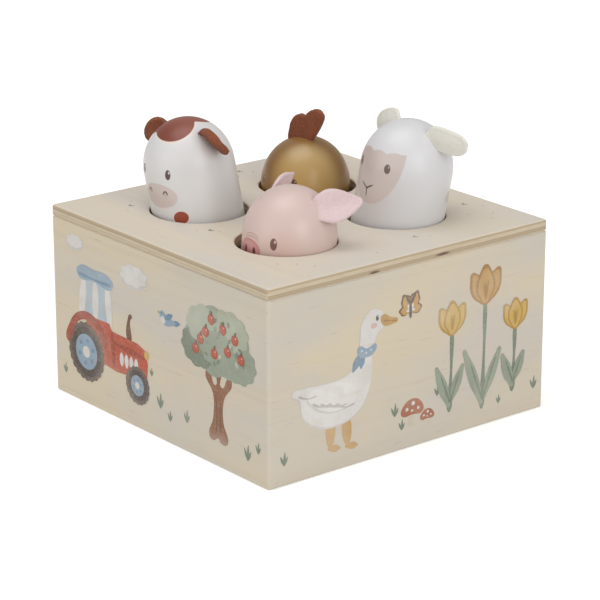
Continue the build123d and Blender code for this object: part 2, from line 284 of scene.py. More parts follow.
# %% [markdown]
# ## The hidden wood and the screws
# Glue blocks and posts are bare beech, and the screws are zinc plated. They sit inside the box and
# under it, so their solids stay as they are and only get a grain and a brushed sheen.


# %% Beech and steel
def beech_finish():
    finish = Finish("bare beech", roughness=0.65, specular=0.3)
    grain = finish.noise(finish.place((240, 240, 14)), 1.0, 5, 0.6, 0.5)
    pores = finish.noise(finish.place((1500, 1500, 160), (1, 4, 2)), 1.0, 1)
    tone = finish.mix(finish.ease(grain, 0.35, 0.7), chip("c8a57c"), chip("b28c62"))
    tone = finish.mix(finish.ease(pores, 0.64, 0.74, 0, 0.6), tone, chip("8d6a48"))
    finish.bump(grain, 0.2, 0.0002)
    return finish.colour(tone)


def steel_finish(name, code, roughness, streak):
    finish = Finish(name, roughness)
    finish.shader.inputs["Metallic"].default_value = 1.0
    wear = finish.noise(finish.place(streak), 1.0, 3)
    finish.bump(wear, 0.15, 0.00005)
    dull = finish.mix(0.5, chip(code), chip("6f6d69"))
    return finish.colour(finish.mix(finish.ease(wear, 0.4, 0.7, 0, 0.5), chip(code), dull))


beech = beech_finish()
zinc = steel_finish("zinc plate", "b9b7b0", 0.38, (700, 700, 700))
wire_steel = steel_finish("spring wire", "a5a4a2", 0.3, (900, 900, 200))
turned_or_sawn = [node for node in frame["nodes"] if node.endswith(("_block", "_post"))]
screw_sets = [node for node in frame["nodes"] if node.endswith("_screws")]
for node in turned_or_sawn:
    dress(node, beech)
for node in screw_sets:
    dress(node, zinc)
print(len(turned_or_sawn), "pieces of bare beech,", len(screw_sets), "sets of screws")

# %% [markdown]
# ## Springs
# A coil spring is one round wire wound along a line. A small circle is wound up by a Screw modifier,
# which is how such a shape is made by hand too. Each coil stands on its post and ends in its head. It
# stays with the box.

# %% Spring sizes
animals = ("cow", "pig", "sheep", "chick")
wire_radius = 0.5 * MM
coil_radius = 6.0 * MM
coil_turns = 11
tip_room = 0.5 * MM


# %% Helpers that every new piece needs
def selected_only(*pieces):
    bpy.ops.object.select_all(action="DESELECT")
    for piece in pieces:
        piece.select_set(True)
    bpy.context.view_layer.objects.active = pieces[0]


def modifier(piece, kind, **settings):
    """Adds a modifier, sets it and applies it."""
    selected_only(piece)
    added = piece.modifiers.new(kind.lower(), kind)
    for key, value in settings.items():
        setattr(added, key, value)
    bpy.ops.object.modifier_apply(modifier=added.name)


def name_piece(name, material):
    """Names the active object and gives it its finish."""
    piece = bpy.context.object
    piece.name = name
    piece.data.name = name
    piece.data.materials.clear()
    piece.data.materials.append(material)
    return piece


def close_up(degrees):
    """Turns every face of the piece in edit mode outwards, ends edit mode and smooths what is round."""
    bpy.ops.mesh.select_all(action="SELECT")
    bpy.ops.mesh.normals_make_consistent(inside=False)
    bpy.ops.object.mode_set(mode="OBJECT")
    bpy.ops.object.shade_smooth_by_angle(angle=math.radians(degrees))


def settle(piece, matrix):
    """Moves the mesh itself into place, so that the object stays at the origin."""
    piece.matrix_world = matrix
    selected_only(piece)
    bpy.ops.object.transform_apply(location=True, rotation=True, scale=True)


# %% Where a head stands
def head_frame(animal):
    """From the head's own upright frame, with its pivot at the origin, to where it leans at rest."""
    lean = joints[animal + "_lean"]
    crown = Vector(joints[animal + "_press"]["axis"])
    angle = crown.angle(Vector((0, 0, 1)))
    return Matrix.Translation(lean["pos_m"]) @ Matrix.Rotation(angle, 4, Vector(lean["axis"]))


# %% One coil, wound up along Z
def wound_coil(length):
    bpy.ops.mesh.primitive_circle_add(
        vertices=10, radius=wire_radius, fill_type="NGON",
        location=(coil_radius, 0, 0), rotation=(math.pi / 2, 0, 0),
    )
    piece = name_piece("coil", wire_steel)
    bpy.ops.object.transform_apply(location=True, rotation=True)
    bpy.ops.object.mode_set(mode="EDIT")
    bpy.ops.mesh.delete(type="ONLY_FACE")
    bpy.ops.object.mode_set(mode="OBJECT")
    modifier(
        piece, "SCREW", screw_offset=length / coil_turns, iterations=coil_turns,
        steps=28, render_steps=28, use_merge_vertices=True,
    )
    bpy.ops.object.mode_set(mode="EDIT")
    bpy.ops.mesh.select_mode(type="EDGE")
    bpy.ops.mesh.select_all(action="DESELECT")
    bpy.ops.mesh.select_non_manifold()
    bpy.ops.mesh.fill()
    bpy.ops.mesh.select_mode(type="VERT")
    close_up(50)
    return piece


def copy_of(piece, name):
    """A copy with a mesh of its own."""
    selected_only(piece)
    bpy.ops.object.duplicate(linked=False)
    return name_piece(name, piece.data.materials[0])


# %% Springs in their places
def spring_line(animal):
    """From the middle of the spring's foot on its post to the middle of its tip in the head."""
    solid_low, solid_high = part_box(animal + "_spring")
    post_low, post_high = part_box(animal + "_spring_post")
    foot = (post_low + post_high) / 2
    foot.z = solid_low.z + wire_radius
    pivot = head_frame(animal).translation
    return foot, Vector((pivot.x, pivot.y, solid_high.z - wire_radius - tip_room)) - foot


coil_length = spring_line("cow")[1].length
coil = wound_coil(coil_length)
for animal in animals:
    foot, line = spring_line(animal)
    piece = copy_of(coil, animal + "_coil")
    upright = Vector((0, 0, 1)).rotation_difference(line).to_matrix().to_4x4()
    stretch = Matrix.Scale(line.length / coil_length, 4, (0, 0, 1))
    settle(piece, Matrix.Translation(foot) @ upright @ stretch)
    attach(piece, "box")
    crown = Vector(joints[animal + "_press"]["axis"])
    tuple(foot)
    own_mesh(piece)
    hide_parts(animal + "_spring")
    print(piece.name, "length", round(line.length / MM, 1), "mm")
bpy.data.objects.remove(coil)

# %% [markdown]
# ## Heads
# Each head is a turned peg with a domed crown and a bore from below. It could be spun from a drawn
# profile, but pushing a disc up ring by ring, each ring wider or narrower than the last, gives the same
# shape and keeps every step visible. Two maps are kept for the painter: "wrap" unrolls the side, with
# millimetres round it and up it from the pivot, and "plan" looks down on the crown.

# %% Head maker
head_radius = 20.2
dome_height = 21.5
bore_radius = 14.55
skirt_depth = 17.0
skirt_bevel = 1.0
sides = 128
crown_heights = {"cow": 43.7, "pig": 27.1, "sheep": 46.4, "chick": 25.0}


def head_rings(crown):
    """(radius, height) of each ring in millimetres, from inside the bore to the crown."""
    rings = []
    for step in range(1, 10):
        angle = math.radians(10 * step)
        rings.append((bore_radius * math.sin(angle), bore_radius * math.cos(angle)))
    rings += [(bore_radius, -skirt_depth / 2), (bore_radius, -skirt_depth)]
    rings += [(head_radius - skirt_bevel, -skirt_depth), (head_radius, skirt_bevel - skirt_depth)]
    shoulder = crown - dome_height
    straight = 6
    for step in range(1, straight + 1):
        share = step / straight
        rings.append((head_radius, (1 - share) * (skirt_bevel - skirt_depth) + share * shoulder))
    for step in range(1, 30):
        angle = math.radians(3 * step)
        rings.append((head_radius * math.cos(angle), shoulder + dome_height * math.sin(angle)))
    return rings


def turned(name, rings, material):
    """Pushes a disc along Z from ring to ring, and closes the last ring to a point."""
    radius, height = rings[0]
    bpy.ops.mesh.primitive_circle_add(
        vertices=sides, radius=radius * MM, fill_type="NGON", location=(0, 0, height * MM)
    )
    piece = name_piece(name, material)
    bpy.ops.object.transform_apply(location=True)
    bpy.ops.object.mode_set(mode="EDIT")
    bpy.ops.mesh.select_all(action="SELECT")
    for next_radius, next_height in rings[1:]:
        rise = (0, 0, (next_height - height) * MM)
        bpy.ops.mesh.extrude_region_move(TRANSFORM_OT_translate={"value": rise})
        grow = next_radius / radius
        bpy.ops.transform.resize(value=(grow, grow, 1))
        radius, height = next_radius, next_height
    bpy.ops.mesh.inset(thickness=radius * MM * 0.5)
    bpy.ops.mesh.merge(type="CENTER")
    close_up(35)
    return piece


# %% Maps for the painter
def add_painter_maps(piece):
    wrap = piece.data.uv_layers.new(name="wrap")
    plan = piece.data.uv_layers.new(name="plan")
    for face in piece.data.polygons:
        middle = math.atan2(face.center.x, -face.center.y)
        for corner in face.loop_indices:
            point = piece.data.vertices[piece.data.loops[corner].vertex_index].co
            around = math.atan2(point.x, -point.y) if point.xy.length > 1e-6 else middle
            around = middle + (around - middle + math.pi) % (2 * math.pi) - math.pi
            wrap.data[corner].uv = (around * head_radius, point.z / MM)
            plan.data[corner].uv = (point.x / MM, point.y / MM)


# %% [markdown]
# ## Painted faces
# The paint is satin, over wood whose grain is only just felt. Every feature is an oval, or a band of
# one, on the unrolled side: eyes, nostrils, muzzle and cheeks. Ovals are quick to place, stay sharp at
# any distance and need no picture. Printed faces sit a little askew, so each face has a middle and a
# tilt of its own.


# %% Face painter
class FacePaint(Finish):
    """A head's paint. Features are placed in millimetres: on the face from its middle, on the
    unrolled side from the front and the pivot, or on the crown seen from above."""

    def __init__(self, name, base, shade, middle, tilt, roughness=0.36):
        super().__init__(name, roughness, 0.45)
        self.wrap = self.unwrapped("wrap")
        self.plan = self.unwrapped("plan")
        inputs = {"Vector": self.wrap, "Location": (*middle, 0)}
        inputs["Rotation"] = (0, 0, math.radians(tilt))
        self.face = self.add("Mapping", inputs, vector_type="TEXTURE").outputs[0]
        cloud = self.noise(self.place(), 60, 2)
        self.tone = self.mix(self.ease(cloud, 0.3, 0.7, 0, 0.5), chip(base), chip(shade))
        grain = self.noise(self.place((260, 260, 30)), 1.0, 4, 0.6)
        self.bump(grain, 0.10, 0.0002)

    def lay(self, code, mask):
        self.tone = self.mix(mask, self.tone, chip(code))

    def oval(self, code, at, size, turn=0.0, soft=0.1, strength=1.0, on=None):
        mask = self.spot(on or self.face, at, size, turn, soft)
        if strength < 1:
            mask = self.math("MULTIPLY", mask, strength)
        self.lay(code, mask)

    def arc(self, code, at, size, thick, strength=1.0):
        """The upper half of an oval's outline, such as a nostril or a wrinkle."""
        outer = self.spot(self.face, at, size, 0, 0.08)
        inner = self.spot(self.face, at, (size[0] - thick, size[1] - thick), 0, 0.12)
        ring = self.math("SUBTRACT", outer, inner, clamp=True)
        half = self.ease(self.axis(self.face, "Y"), at[1] - 0.15, at[1] + 0.15)
        self.lay(code, self.math("MULTIPLY", self.math("MULTIPLY", ring, half), strength))

    def eye(self, code, at, size, shine_code):
        """A dark oval with a small light notch at its upper right."""
        wide, tall = size
        self.oval(code, at, size, soft=0.12)
        shine = (at[0] + 0.40 * wide, at[1] + 0.42 * tall)
        self.oval(shine_code, shine, (0.28 * wide, 0.26 * tall), soft=0.25)

    def spots(self, code, rim_code, ovals, on, rim=0.07, wave=0.05):
        """One patch made of several ovals that flow together, with a thin pale rim."""
        field = self.math("MULTIPLY", self.noise(self.place(), 90, 1), 2 * wave)
        field, far = self.math("SUBTRACT", field, wave), None
        for at, size, turn in ovals:
            one = self.reach(on, at, size, turn)
            if far is None:
                far = one
            else:
                far = self.add("Math", {0: far, 1: one, 2: 0.2}, operation="SMOOTH_MIN").outputs[0]
        field = self.math("ADD", field, far)
        self.lay(rim_code, self.ease(field, 1.03 + rim, 0.98 + rim))
        inside = self.ease(field, 1.02, 0.98)
        self.lay(code, inside)
        return inside

    def done(self):
        return self.colour(self.tone)


# %% Cow
def cow_paint():
    paint = FacePaint("cow paint", "dddbda", "d8d6d4", middle=(1.2, 18.5), tilt=-11)
    crown = [((3.7, -6.0), (9.1, 8.2), 0), ((-3.8, -4.6), (8.6, 6.5), 0), ((0.4, 4.5), (9.1, 8.2), 0)]
    patch = paint.spots("8e5141", "e6dbd2", crown, paint.plan, wave=0.02)
    # painted shade: the crown patch is painted darker and redder along its front, lower on the dome
    painted_shade_low_edge = paint.spot(paint.plan, (1.0, -12.5), (12.0, 5.5), 12, 0.9)
    paint.lay("76331f", paint.math("MULTIPLY", paint.math("MULTIPLY", painted_shade_low_edge, patch), 0.7))
    side_spots = [((11.7, 2.9), (3.5, 2.8), 0), ((-30.0, 5.5), (7.0, 6.0), 20)]
    side_spots += [((61.0, 12.0), (7.0, 8.5), -15), ((-50.0, 26.0), (6.5, 8.5), 10)]
    for spot in side_spots:
        paint.spots("9c482d", "e6dbd2", [spot], paint.wrap)
    paint.oval("d0c2bd", (1.6, -4.8), (10.1, 5.3), soft=0.035)
    paint.oval("c6b5ae", (1.6, -7.2), (8.0, 2.8), soft=0.6, strength=0.5)
    for across, eye_across in ((5.6, 7.1), (-4.1, -9.1)):
        paint.oval("b9a39b", (across, -3.6), (0.9, 1.1), soft=0.6, strength=0.5)
        paint.arc("5f423d", (across, -3.9), (1.35, 1.75), 0.6)
        paint.eye("57433f", (eye_across, 5.2), (1.3, 2.25), "ddd8d4")
    return paint.done()


# %% Pig
def pig_paint():
    paint = FacePaint("pig paint", "d9c2ba", "d5bdb5", middle=(-1.5, 2.1), tilt=5)
    for side in (-1, 1):
        paint.oval("d2a49b", (side * 16.0, 0.5), (7.0, 6.0), soft=0.9, strength=0.35)
    paint.oval("c3817f", (-0.1, -0.2), (6.5, 4.5), soft=0.05)
    paint.oval("cd9090", (-0.1, -0.1), (5.9, 3.9), soft=0.10)
    paint.oval("d8a5a4", (-0.5, 1.7), (3.9, 1.5), soft=0.8, strength=0.7)
    for side in (-1, 1):
        paint.oval("75413e", (side * 2.9, -0.7), (0.9, 1.85), soft=0.18)
        paint.eye("75544d", (side * 12.8, 4.0), (1.55, 2.6), "d3b7ae")
    for rise in (5.6, 6.8):
        paint.arc("b3817a", (1.0, rise - 1.6), (4.2, 1.7), 0.36, strength=0.8)
    return paint.done()


# %% Sheep
def sheep_paint():
    paint = FacePaint("sheep paint", "dcdbdc", "d7d6d7", middle=(-0.7, 24.0), tilt=6)
    side_way, high = paint.axis(paint.wrap, "X"), paint.axis(paint.wrap, "Y")
    last_curl = paint.math("MINIMUM", side_way, 12.2)
    curls = paint.math("SINE", paint.math("MULTIPLY", paint.math("SUBTRACT", last_curl, 5.2), 0.37))
    curls = paint.math("ABSOLUTE", curls)
    over_edge = paint.math("SUBTRACT", high, paint.math("MULTIPLY", side_way, 0.11))
    below_wool = paint.ease(paint.math("SUBTRACT", over_edge, curls), 33.95, 33.45)
    shield = paint.spot(paint.wrap, (-0.4, 36.5), (15.7, 26.0), 0, 0.012)
    paint.lay("d0c3bd", paint.math("MULTIPLY", shield, below_wool))
    for code, at, size in (("dfd3ce", (2.5, -5.0), (9.5, 9.0)), ("b9a79e", (-6.5, 7.0), (7.0, 6.0))):
        blush = paint.math("MULTIPLY", paint.spot(paint.face, at, size, 0, 0.9), below_wool)
        paint.lay(code, paint.math("MULTIPLY", blush, 0.55))
    for side in (-1, 1):
        paint.eye("705e58", (side * 8.85, 3.6), (1.5, 2.05), "a8978f")
        paint.oval("553d39", (side * 1.8 - 1.4, -5.9), (2.2, 0.33), side * 29, 0.3)
    paint.oval("553d39", (-1.4, -6.9), (0.7, 0.55), soft=0.3)
    paint.oval("5e4743", (-1.4, -8.7), (0.3, 2.0), soft=0.3)
    # a soft taupe oval far round the animal's left side, near the head's outline as seen at rest
    side_oval = (44.6, 16.3)
    paint.oval("c3b1a9", side_oval, (4.6, 2.7), 0, 0.25, strength=0.6, on=paint.wrap)
    return paint.done()


# %% Chick
def chick_paint():
    paint = FacePaint("chick paint", "bf9752", "b9914c", middle=(1.1, 8.0), tilt=3, roughness=0.32)
    # painted highlight: a lighter oval on the crown, where the overhead light falls
    paint.oval("c9b285", (0, 0), (15.5, 15.5), soft=0.9, strength=0.8, on=paint.plan)
    # painted shade: the paint darkens towards the outline that the camera sees, where the dome turns
    # away
    painted_shade_facing = paint.add("LayerWeight", {"Blend": 0.5}).outputs["Facing"]
    paint.lay("865c25", paint.ease(painted_shade_facing, 0.12, 0.5, 0, 0.85))
    for across in (-8.1, 11.6):
        paint.eye("55402f", (across, -0.5), (1.25, 1.9), "b59a6c")
    paint.oval("8a5530", (0, -5.6), (2.4, 1.8), soft=0.06)
    paint.oval("bb7a45", (0, -5.5), (2.05, 1.45), soft=0.10)
    paint.oval("8a5530", (0, -5.7), (1.9, 0.2), soft=0.3)
    return paint.done()


# %% Heads on their springs
paints = {"cow": cow_paint, "pig": pig_paint, "sheep": sheep_paint, "chick": chick_paint}
for animal in animals:
    peg = turned(animal + "_peg", head_rings(crown_heights[animal]), paints[animal]())
    add_painter_maps(peg)
    settle(peg, head_frame(animal))
    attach(peg, animal)
    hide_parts(animal + "_head")
    print(peg.name, "faces", len(peg.data.polygons))

# %% [markdown]
# ## Felt
# Wool felt is a dense tangle of fibres: dull, slightly fuzzy, with light and dark hairs mixed. Three
# noises make it, one for patches, one for the tangle and one for single hairs. A soft sheen catches
# light at the edges, over painted shade that darkens the tone there. One recipe makes rust, ivory and
# pink felt.


# %% Felt finish
def felt_finish(name, dark, middle, light, rim, sheen):
    finish = Finish(name, roughness=0.95, specular=0.15)
    tangle = finish.noise(finish.place((1, 1, 1)), 1500, 4, 0.7, 1.5)
    hairs = finish.noise(finish.place((3200, 700, 1900), turn=(0.6, 0.3, 0.9)), 1.0, 2, 0.6, 2.5)
    patches = finish.noise(finish.place(), 260, 3, 0.6)
    tone = finish.mix(finish.ease(tangle, 0.38, 0.66), chip(dark), chip(middle))
    tone = finish.mix(finish.ease(hairs, 0.54, 0.72, 0, 0.65), tone, chip(light))
    tone = finish.mix(finish.ease(patches, 0.4, 0.7, 0, 0.35), tone, chip(middle))
    # painted shade: the tone darkens where the felt turns away from the camera, by the share that rim
    # gives
    painted_shade_facing = finish.add("LayerWeight", {"Blend": 0.5}).outputs["Facing"]
    tone = finish.mix(finish.ease(painted_shade_facing, 0.45, 0.95, 0, rim), tone, chip(dark))
    finish.bump(finish.math("ADD", tangle, hairs), 0.55, 0.0003)
    finish.shader.inputs["Sheen Weight"].default_value = sheen
    finish.shader.inputs["Sheen Roughness"].default_value = 0.6
    return finish.colour(tone)


# the fifth value is the strength of the painted shade at each felt's outline, the sixth its sheen
rust_felt = felt_finish("rust felt", "74402a", "99583c", "bd7e59", 0.75, 0.10)
ivory_felt = felt_finish("ivory felt", "e6e3d7", "f0ede4", "f7f5ee", 0.35, 0.10)
pink_felt = felt_finish("pink felt", "dec2c2", "e9d4d4", "f4e8e8", 0.35, 0.10)
print("finishes:", ", ".join(felt.name for felt in (rust_felt, ivory_felt, pink_felt)))

# %% [markdown]
# ## Ears
# An ear is a leaf cut from thick felt, its root pushed into a hole in the head. A flat grid is widened
# row by row to the leaf's outline, its midline is pulled down with proportional editing so that the
# leaf cups, and its tip is curled. Solidify then gives the felt its thickness, subdivision rounds its
# cut edge, both ends are pinched thinner, and a light displacement takes the machine look off it. Each
# animal's leaf is modelled once. Each ear is a copy with its own mesh, its root bent into the head.

# %% Leaf shapes, as (distance from the root, half width) in millimetres
cow_leaf = [(-2.4, 1.6), (-1.2, 2.0), (0, 2.5), (1.4, 3.4), (3.2, 4.7), (5.2, 5.8), (7.6, 6.4)]
cow_leaf += [(9.8, 6.4), (12, 5.9), (14, 5.0), (15.8, 3.9), (17.2, 2.6), (18.2, 1.2)]
pig_leaf = [(-2.4, 3.0), (-1.2, 3.5), (0, 4.1), (1.7, 5.3), (4.2, 6.8), (6.4, 7.5), (8.6, 7.7)]
pig_leaf += [(11, 7.3), (13.4, 6.3), (15.8, 5.0), (18, 3.7), (20, 2.2), (21.5, 1.0)]
sheep_leaf = [(-2.4, 1.3), (-1.2, 1.5), (0, 1.8), (1.0, 2.6), (1.9, 4.3), (3.6, 5.2), (6.0, 5.6)]
sheep_leaf += [(8.8, 5.7), (11.6, 5.6), (14.2, 5.4), (16.4, 4.9), (18.2, 3.9), (19.4, 2.6), (19.9, 1.2)]
print("ears stand out", [leaf[-1][0] for leaf in (cow_leaf, pig_leaf, sheep_leaf)], "mm")

# %% Felt of each animal's ears
# thick: the felt's thickness. cup: how deep the leaf cups. curl: how far its tip curls.
# taper: the share of the thickness that is left at the leaf's two ends.
felt_of = {
    "cow": dict(leaf=cow_leaf, felt=rust_felt, thick=3.8, cup=0.4, curl=-1.2, taper=0.5),
    "pig": dict(leaf=pig_leaf, felt=pink_felt, thick=2.0, cup=1.8, curl=-1.5, taper=0.7),
    "sheep": dict(leaf=sheep_leaf, felt=ivory_felt, thick=2.2, cup=-1.0, curl=-2.0, taper=0.8),
}

# %% Where each ear grows
# side: 1 is the animal's own left, at +X. root: angle from the crown to the ear's root.
# reach: outwards, backwards and upwards from root to tip.
# facing: where the upper side of the leaf looks, outwards, backwards and upwards.
ears = {
    "cow_left_ear": dict(side=1, root=45.9, reach=(0.91, 0.04, -0.40), facing=(0.23, 0.76, 0.61)),
    "cow_right_ear": dict(side=-1, root=28.5, reach=(0.92, 0.0, -0.40), facing=(0.15, 0.93, 0.34)),
    "pig_left_ear": dict(side=1, root=43.3, reach=(0.41, 0.89, 0.21), facing=(0.69, -0.45, 0.57)),
    "pig_right_ear": dict(side=-1, root=59.0, reach=(0.40, 0.87, 0.29), facing=(0.78, -0.48, 0.40)),
    "sheep_left_ear": dict(side=1, root=28.0, reach=(0.99, 0.17, -0.04), facing=(0.16, -0.97, -0.17)),
    "sheep_right_ear": dict(side=-1, root=25.2, reach=(0.89, 0.07, -0.46), facing=(0.10, -0.99, 0.05)),
}
root_depth = 3.0
# An ear that reaches past the hole can't follow its head down into it. For each such ear: (way out from
# the head's axis in degrees, how far out the ear still follows the head, how far out it stays behind).
folds = {"pig_left_ear": (5, 13, 31), "pig_right_ear": (145, 9, 27), "cow_left_ear": (0, 9, 80)}
felt_lumps = bpy.data.textures.new("felt lumps", "CLOUDS")
felt_lumps.noise_scale = 1.6 * MM
lumpy = dict(texture=felt_lumps, strength=0.22 * MM, mid_level=0.5)


# %% Leaf maker
soft = dict(use_proportional_edit=True, proportional_edit_falloff="SMOOTH")


def pick_vertices(piece, wanted):
    """Selects the vertices whose place passes the test, from edit mode and back to it."""
    bpy.ops.mesh.select_all(action="DESELECT")
    bpy.ops.object.mode_set(mode="OBJECT")
    for vertex in piece.data.vertices:
        vertex.select = wanted(vertex.co)
    bpy.ops.object.mode_set(mode="EDIT")


def felt_leaf(leaf, felt, thick, cup, curl, taper):
    """The leaf lies flat, its root at the origin and its tip along +Y, with its upper side along +Z."""
    rows = len(leaf) - 1
    aside = 10  # metres that a finished row is put away, so that no later row's test finds it
    bpy.ops.mesh.primitive_grid_add(x_subdivisions=8, y_subdivisions=rows, size=2)
    piece = name_piece("felt leaf", felt)
    bpy.ops.object.mode_set(mode="EDIT")
    bpy.ops.mesh.select_mode(type="VERT")
    for row, (along, half_width) in reversed(list(enumerate(leaf))):
        level = -1 + 2 * row / rows
        pick_vertices(piece, lambda co: abs(co.y - level) < 0.2 / rows)
        bpy.ops.transform.resize(value=(half_width * MM, 1, 1))
        bpy.ops.transform.translate(value=(0, along * MM - level + aside, 0))
    bpy.ops.mesh.select_all(action="SELECT")
    bpy.ops.transform.translate(value=(0, -aside, 0))
    tip = leaf[-1][0] * MM
    pick_vertices(piece, lambda co: abs(co.x) < 0.7 * MM and co.y < 0.8 * tip)
    bpy.ops.transform.translate(value=(0, 0, -cup * MM), proportional_size=0.3 * tip, **soft)
    pick_vertices(piece, lambda co: co.y > 0.93 * tip)
    bpy.ops.transform.translate(value=(0, 0, curl * MM), proportional_size=0.7 * tip, **soft)
    bpy.ops.object.mode_set(mode="OBJECT")
    modifier(piece, "SOLIDIFY", thickness=thick * MM, offset=0.0)
    modifier(piece, "SUBSURF", levels=2, render_levels=2)
    bpy.ops.object.mode_set(mode="EDIT")
    for low, high, middle in ((0.95 * tip, math.inf, curl * MM), (-math.inf, 0.08 * tip, 0)):
        pick_vertices(piece, lambda co: low < co.y < high)
        thinner = dict(value=(1, 1, taper), center_override=(0, 0, middle))
        bpy.ops.transform.resize(**thinner, proportional_size=0.33 * tip, **soft)
    bpy.ops.object.mode_set(mode="OBJECT")
    modifier(piece, "DISPLACE", **lumpy)
    bpy.ops.object.shade_smooth()
    return piece


# %% Ear maker
def tuck(piece, inwards, depth):
    """Bends the root of a leaf into the head."""
    selected_only(piece)
    bpy.ops.object.mode_set(mode="EDIT")
    pick_vertices(piece, lambda co: co.y < -1.2 * MM)
    bpy.ops.transform.translate(value=inwards * depth, proportional_size=4.2 * MM, **soft)
    bpy.ops.object.mode_set(mode="OBJECT")


def ear_frame(animal, side, root, reach, facing):
    """From the flat leaf to its place on the head, and the way into the head as the leaf sees it."""
    angle = math.radians(root)
    shoulder = crown_heights[animal] - dome_height
    at = Vector((side * head_radius * math.sin(angle), 0, shoulder + dome_height * math.cos(angle)))
    along = Vector((side * reach[0], reach[1], reach[2])).normalized()
    out = Vector((side * facing[0], facing[1], facing[2]))
    out = (out - along * out.dot(along)).normalized()
    across = along.cross(out)
    turn = Matrix((across, along, out)).transposed()
    inwards = Vector((-side * math.sin(angle), 0, -math.cos(angle)))
    return head_frame(animal) @ Matrix.Translation(at * MM) @ turn.to_4x4(), turn.inverted() @ inwards


# %% Ears in their places
leaves = {}
for name, shape in ears.items():
    animal = name.split("_")[0]
    if animal not in leaves:
        leaves[animal] = felt_leaf(**felt_of[animal])
    ear = copy_of(leaves[animal], name.replace("_ear", "_felt_ear"))
    place, inwards = ear_frame(animal, **shape)
    tuck(ear, inwards, root_depth * MM)
    settle(ear, place)
    if name in folds:
        way, near, far = folds[name]
        outwards = Matrix.Rotation(math.radians(way), 3, "Z") @ Vector((MM, 0, 0))
        pivot = head_frame(animal).translation
        start, end = pivot + far * outwards, pivot + near * outwards
        tuple(start)
        tuple(end)
        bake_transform(ear)
    else:
        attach(ear, animal)
    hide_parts(name)
    print(ear.name, "faces", len(ear.data.polygons))
for leaf_piece in leaves.values():
    bpy.data.objects.remove(leaf_piece)

# %% [markdown]
# ## Comb
# The chick's comb is a thick piece of felt with two lobes, which stands across the crown. A flat closed
# curve is its outline. Given a depth and a small round edge, it becomes a mesh with the soft cut edge
# that felt has.

# %% Comb outline, as (along the comb, up from the pivot) in millimetres
comb_turn = 12.0
comb_forward = 1.2
comb_outline = [(-7.4, 21.0), (-8.1, 24.2), (-7.3, 28.2), (-6.3, 31.3), (-4.6, 33.7), (-2.3, 35.2)]
comb_outline += [(-0.3, 35.5), (1.3, 34.9), (3.1, 36.5), (5.4, 38.1), (8.0, 38.8), (10.4, 38.2)]
comb_outline += [(11.9, 36.3), (11.8, 34.2), (10.5, 31.6), (9.1, 29.1), (7.4, 26.6), (5.6, 24.2)]
comb_outline += [(4.3, 22.2), (3.0, 20.6), (-3.0, 20.2)]


# %% Flat curve maker
def flat_curve(name, points, smooth=True):
    """A closed, filled curve through the points, or a straight-sided one."""
    curve = bpy.data.curves.new(name, "CURVE")
    curve.dimensions = "2D"
    curve.fill_mode = "BOTH"
    line = curve.splines.new("BEZIER" if smooth else "POLY")
    line_points = line.bezier_points if smooth else line.points
    line_points.add(len(points) - 1)
    for line_point, (x, y) in zip(line_points, points):
        if smooth:
            line_point.co = (x * MM, y * MM, 0)
            line_point.handle_left_type = line_point.handle_right_type = "AUTO"
        else:
            line_point.co = (x * MM, y * MM, 0, 1)
    line.use_cyclic_u = True
    piece = bpy.data.objects.new(name, curve)
    bpy.context.scene.collection.objects.link(piece)
    return piece


# %% Comb
comb_depth, comb_edge = 2.7 * MM, 0.5 * MM
comb = flat_curve("chick_felt_comb", comb_outline)
comb.data.extrude = comb_depth / 2 - comb_edge
comb.data.bevel_depth = comb_edge
comb.data.offset = -comb_edge
comb.data.bevel_resolution = 3
comb.data.resolution_u = 8
selected_only(comb)
bpy.ops.object.convert(target="MESH")
comb = name_piece("chick_felt_comb", rust_felt)
modifier(comb, "REMESH", mode="VOXEL", voxel_size=0.28 * MM, use_smooth_shade=True)
modifier(comb, "SMOOTH", iterations=4, factor=0.5)
modifier(comb, "DISPLACE", **lumpy)
bpy.ops.object.shade_smooth()
upright = Matrix.Rotation(math.radians(comb_turn), 4, "Z") @ Matrix.Rotation(math.radians(90), 4, "X")
forward = Matrix.Translation((0, 0, comb_forward * MM))
settle(comb, head_frame("chick") @ upright @ forward)
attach(comb, "chick")
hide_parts("chick_comb")
print(comb.name, "faces", len(comb.data.polygons))

# %% [markdown]
# ## Printed pictures
# The sides carry farmyard pictures, printed straight on the wood. Each shape is a flat closed curve
# with its own ink. A shape lies two hundredths of a millimetre over those that it overlaps, so that
# no two of them share a place. Once a panel is full, its shapes are made one mesh, with the inks in a
# colour attribute. One finish then prints them all: it reads the ink, lets the wood's grain show
# through and mottles it as watercolour does.

# %% Sheets: places on a panel are in millimetres from its lower left corner
box_half = round(plate_corners[1].x / MM, 3)
plate_top = round(plate_high / MM, 3)
sheets = {
    "front": ((-box_half, -box_half, 0), (1, 0, 0), (0, 0, 1)),
    "right": ((box_half, -box_half, 0), (0, 1, 0), (0, 0, 1)),
    "back": ((box_half, box_half, 0), (-1, 0, 0), (0, 0, 1)),
    "left": ((-box_half, box_half, 0), (0, -1, 0), (0, 0, 1)),
    "top": ((-box_half, -box_half, plate_top), (1, 0, 0), (0, 1, 0)),
}
drawn = {name: [] for name in sheets}
first_gap = 0.04  # from the wood to the lowest shapes
level_gap = 0.02  # from one level of shapes to the next


# %% Pen
def away(turn, far):
    """The place that lies far from the origin in a direction, in degrees from the right."""
    return far * math.cos(math.radians(turn)), far * math.sin(math.radians(turn))


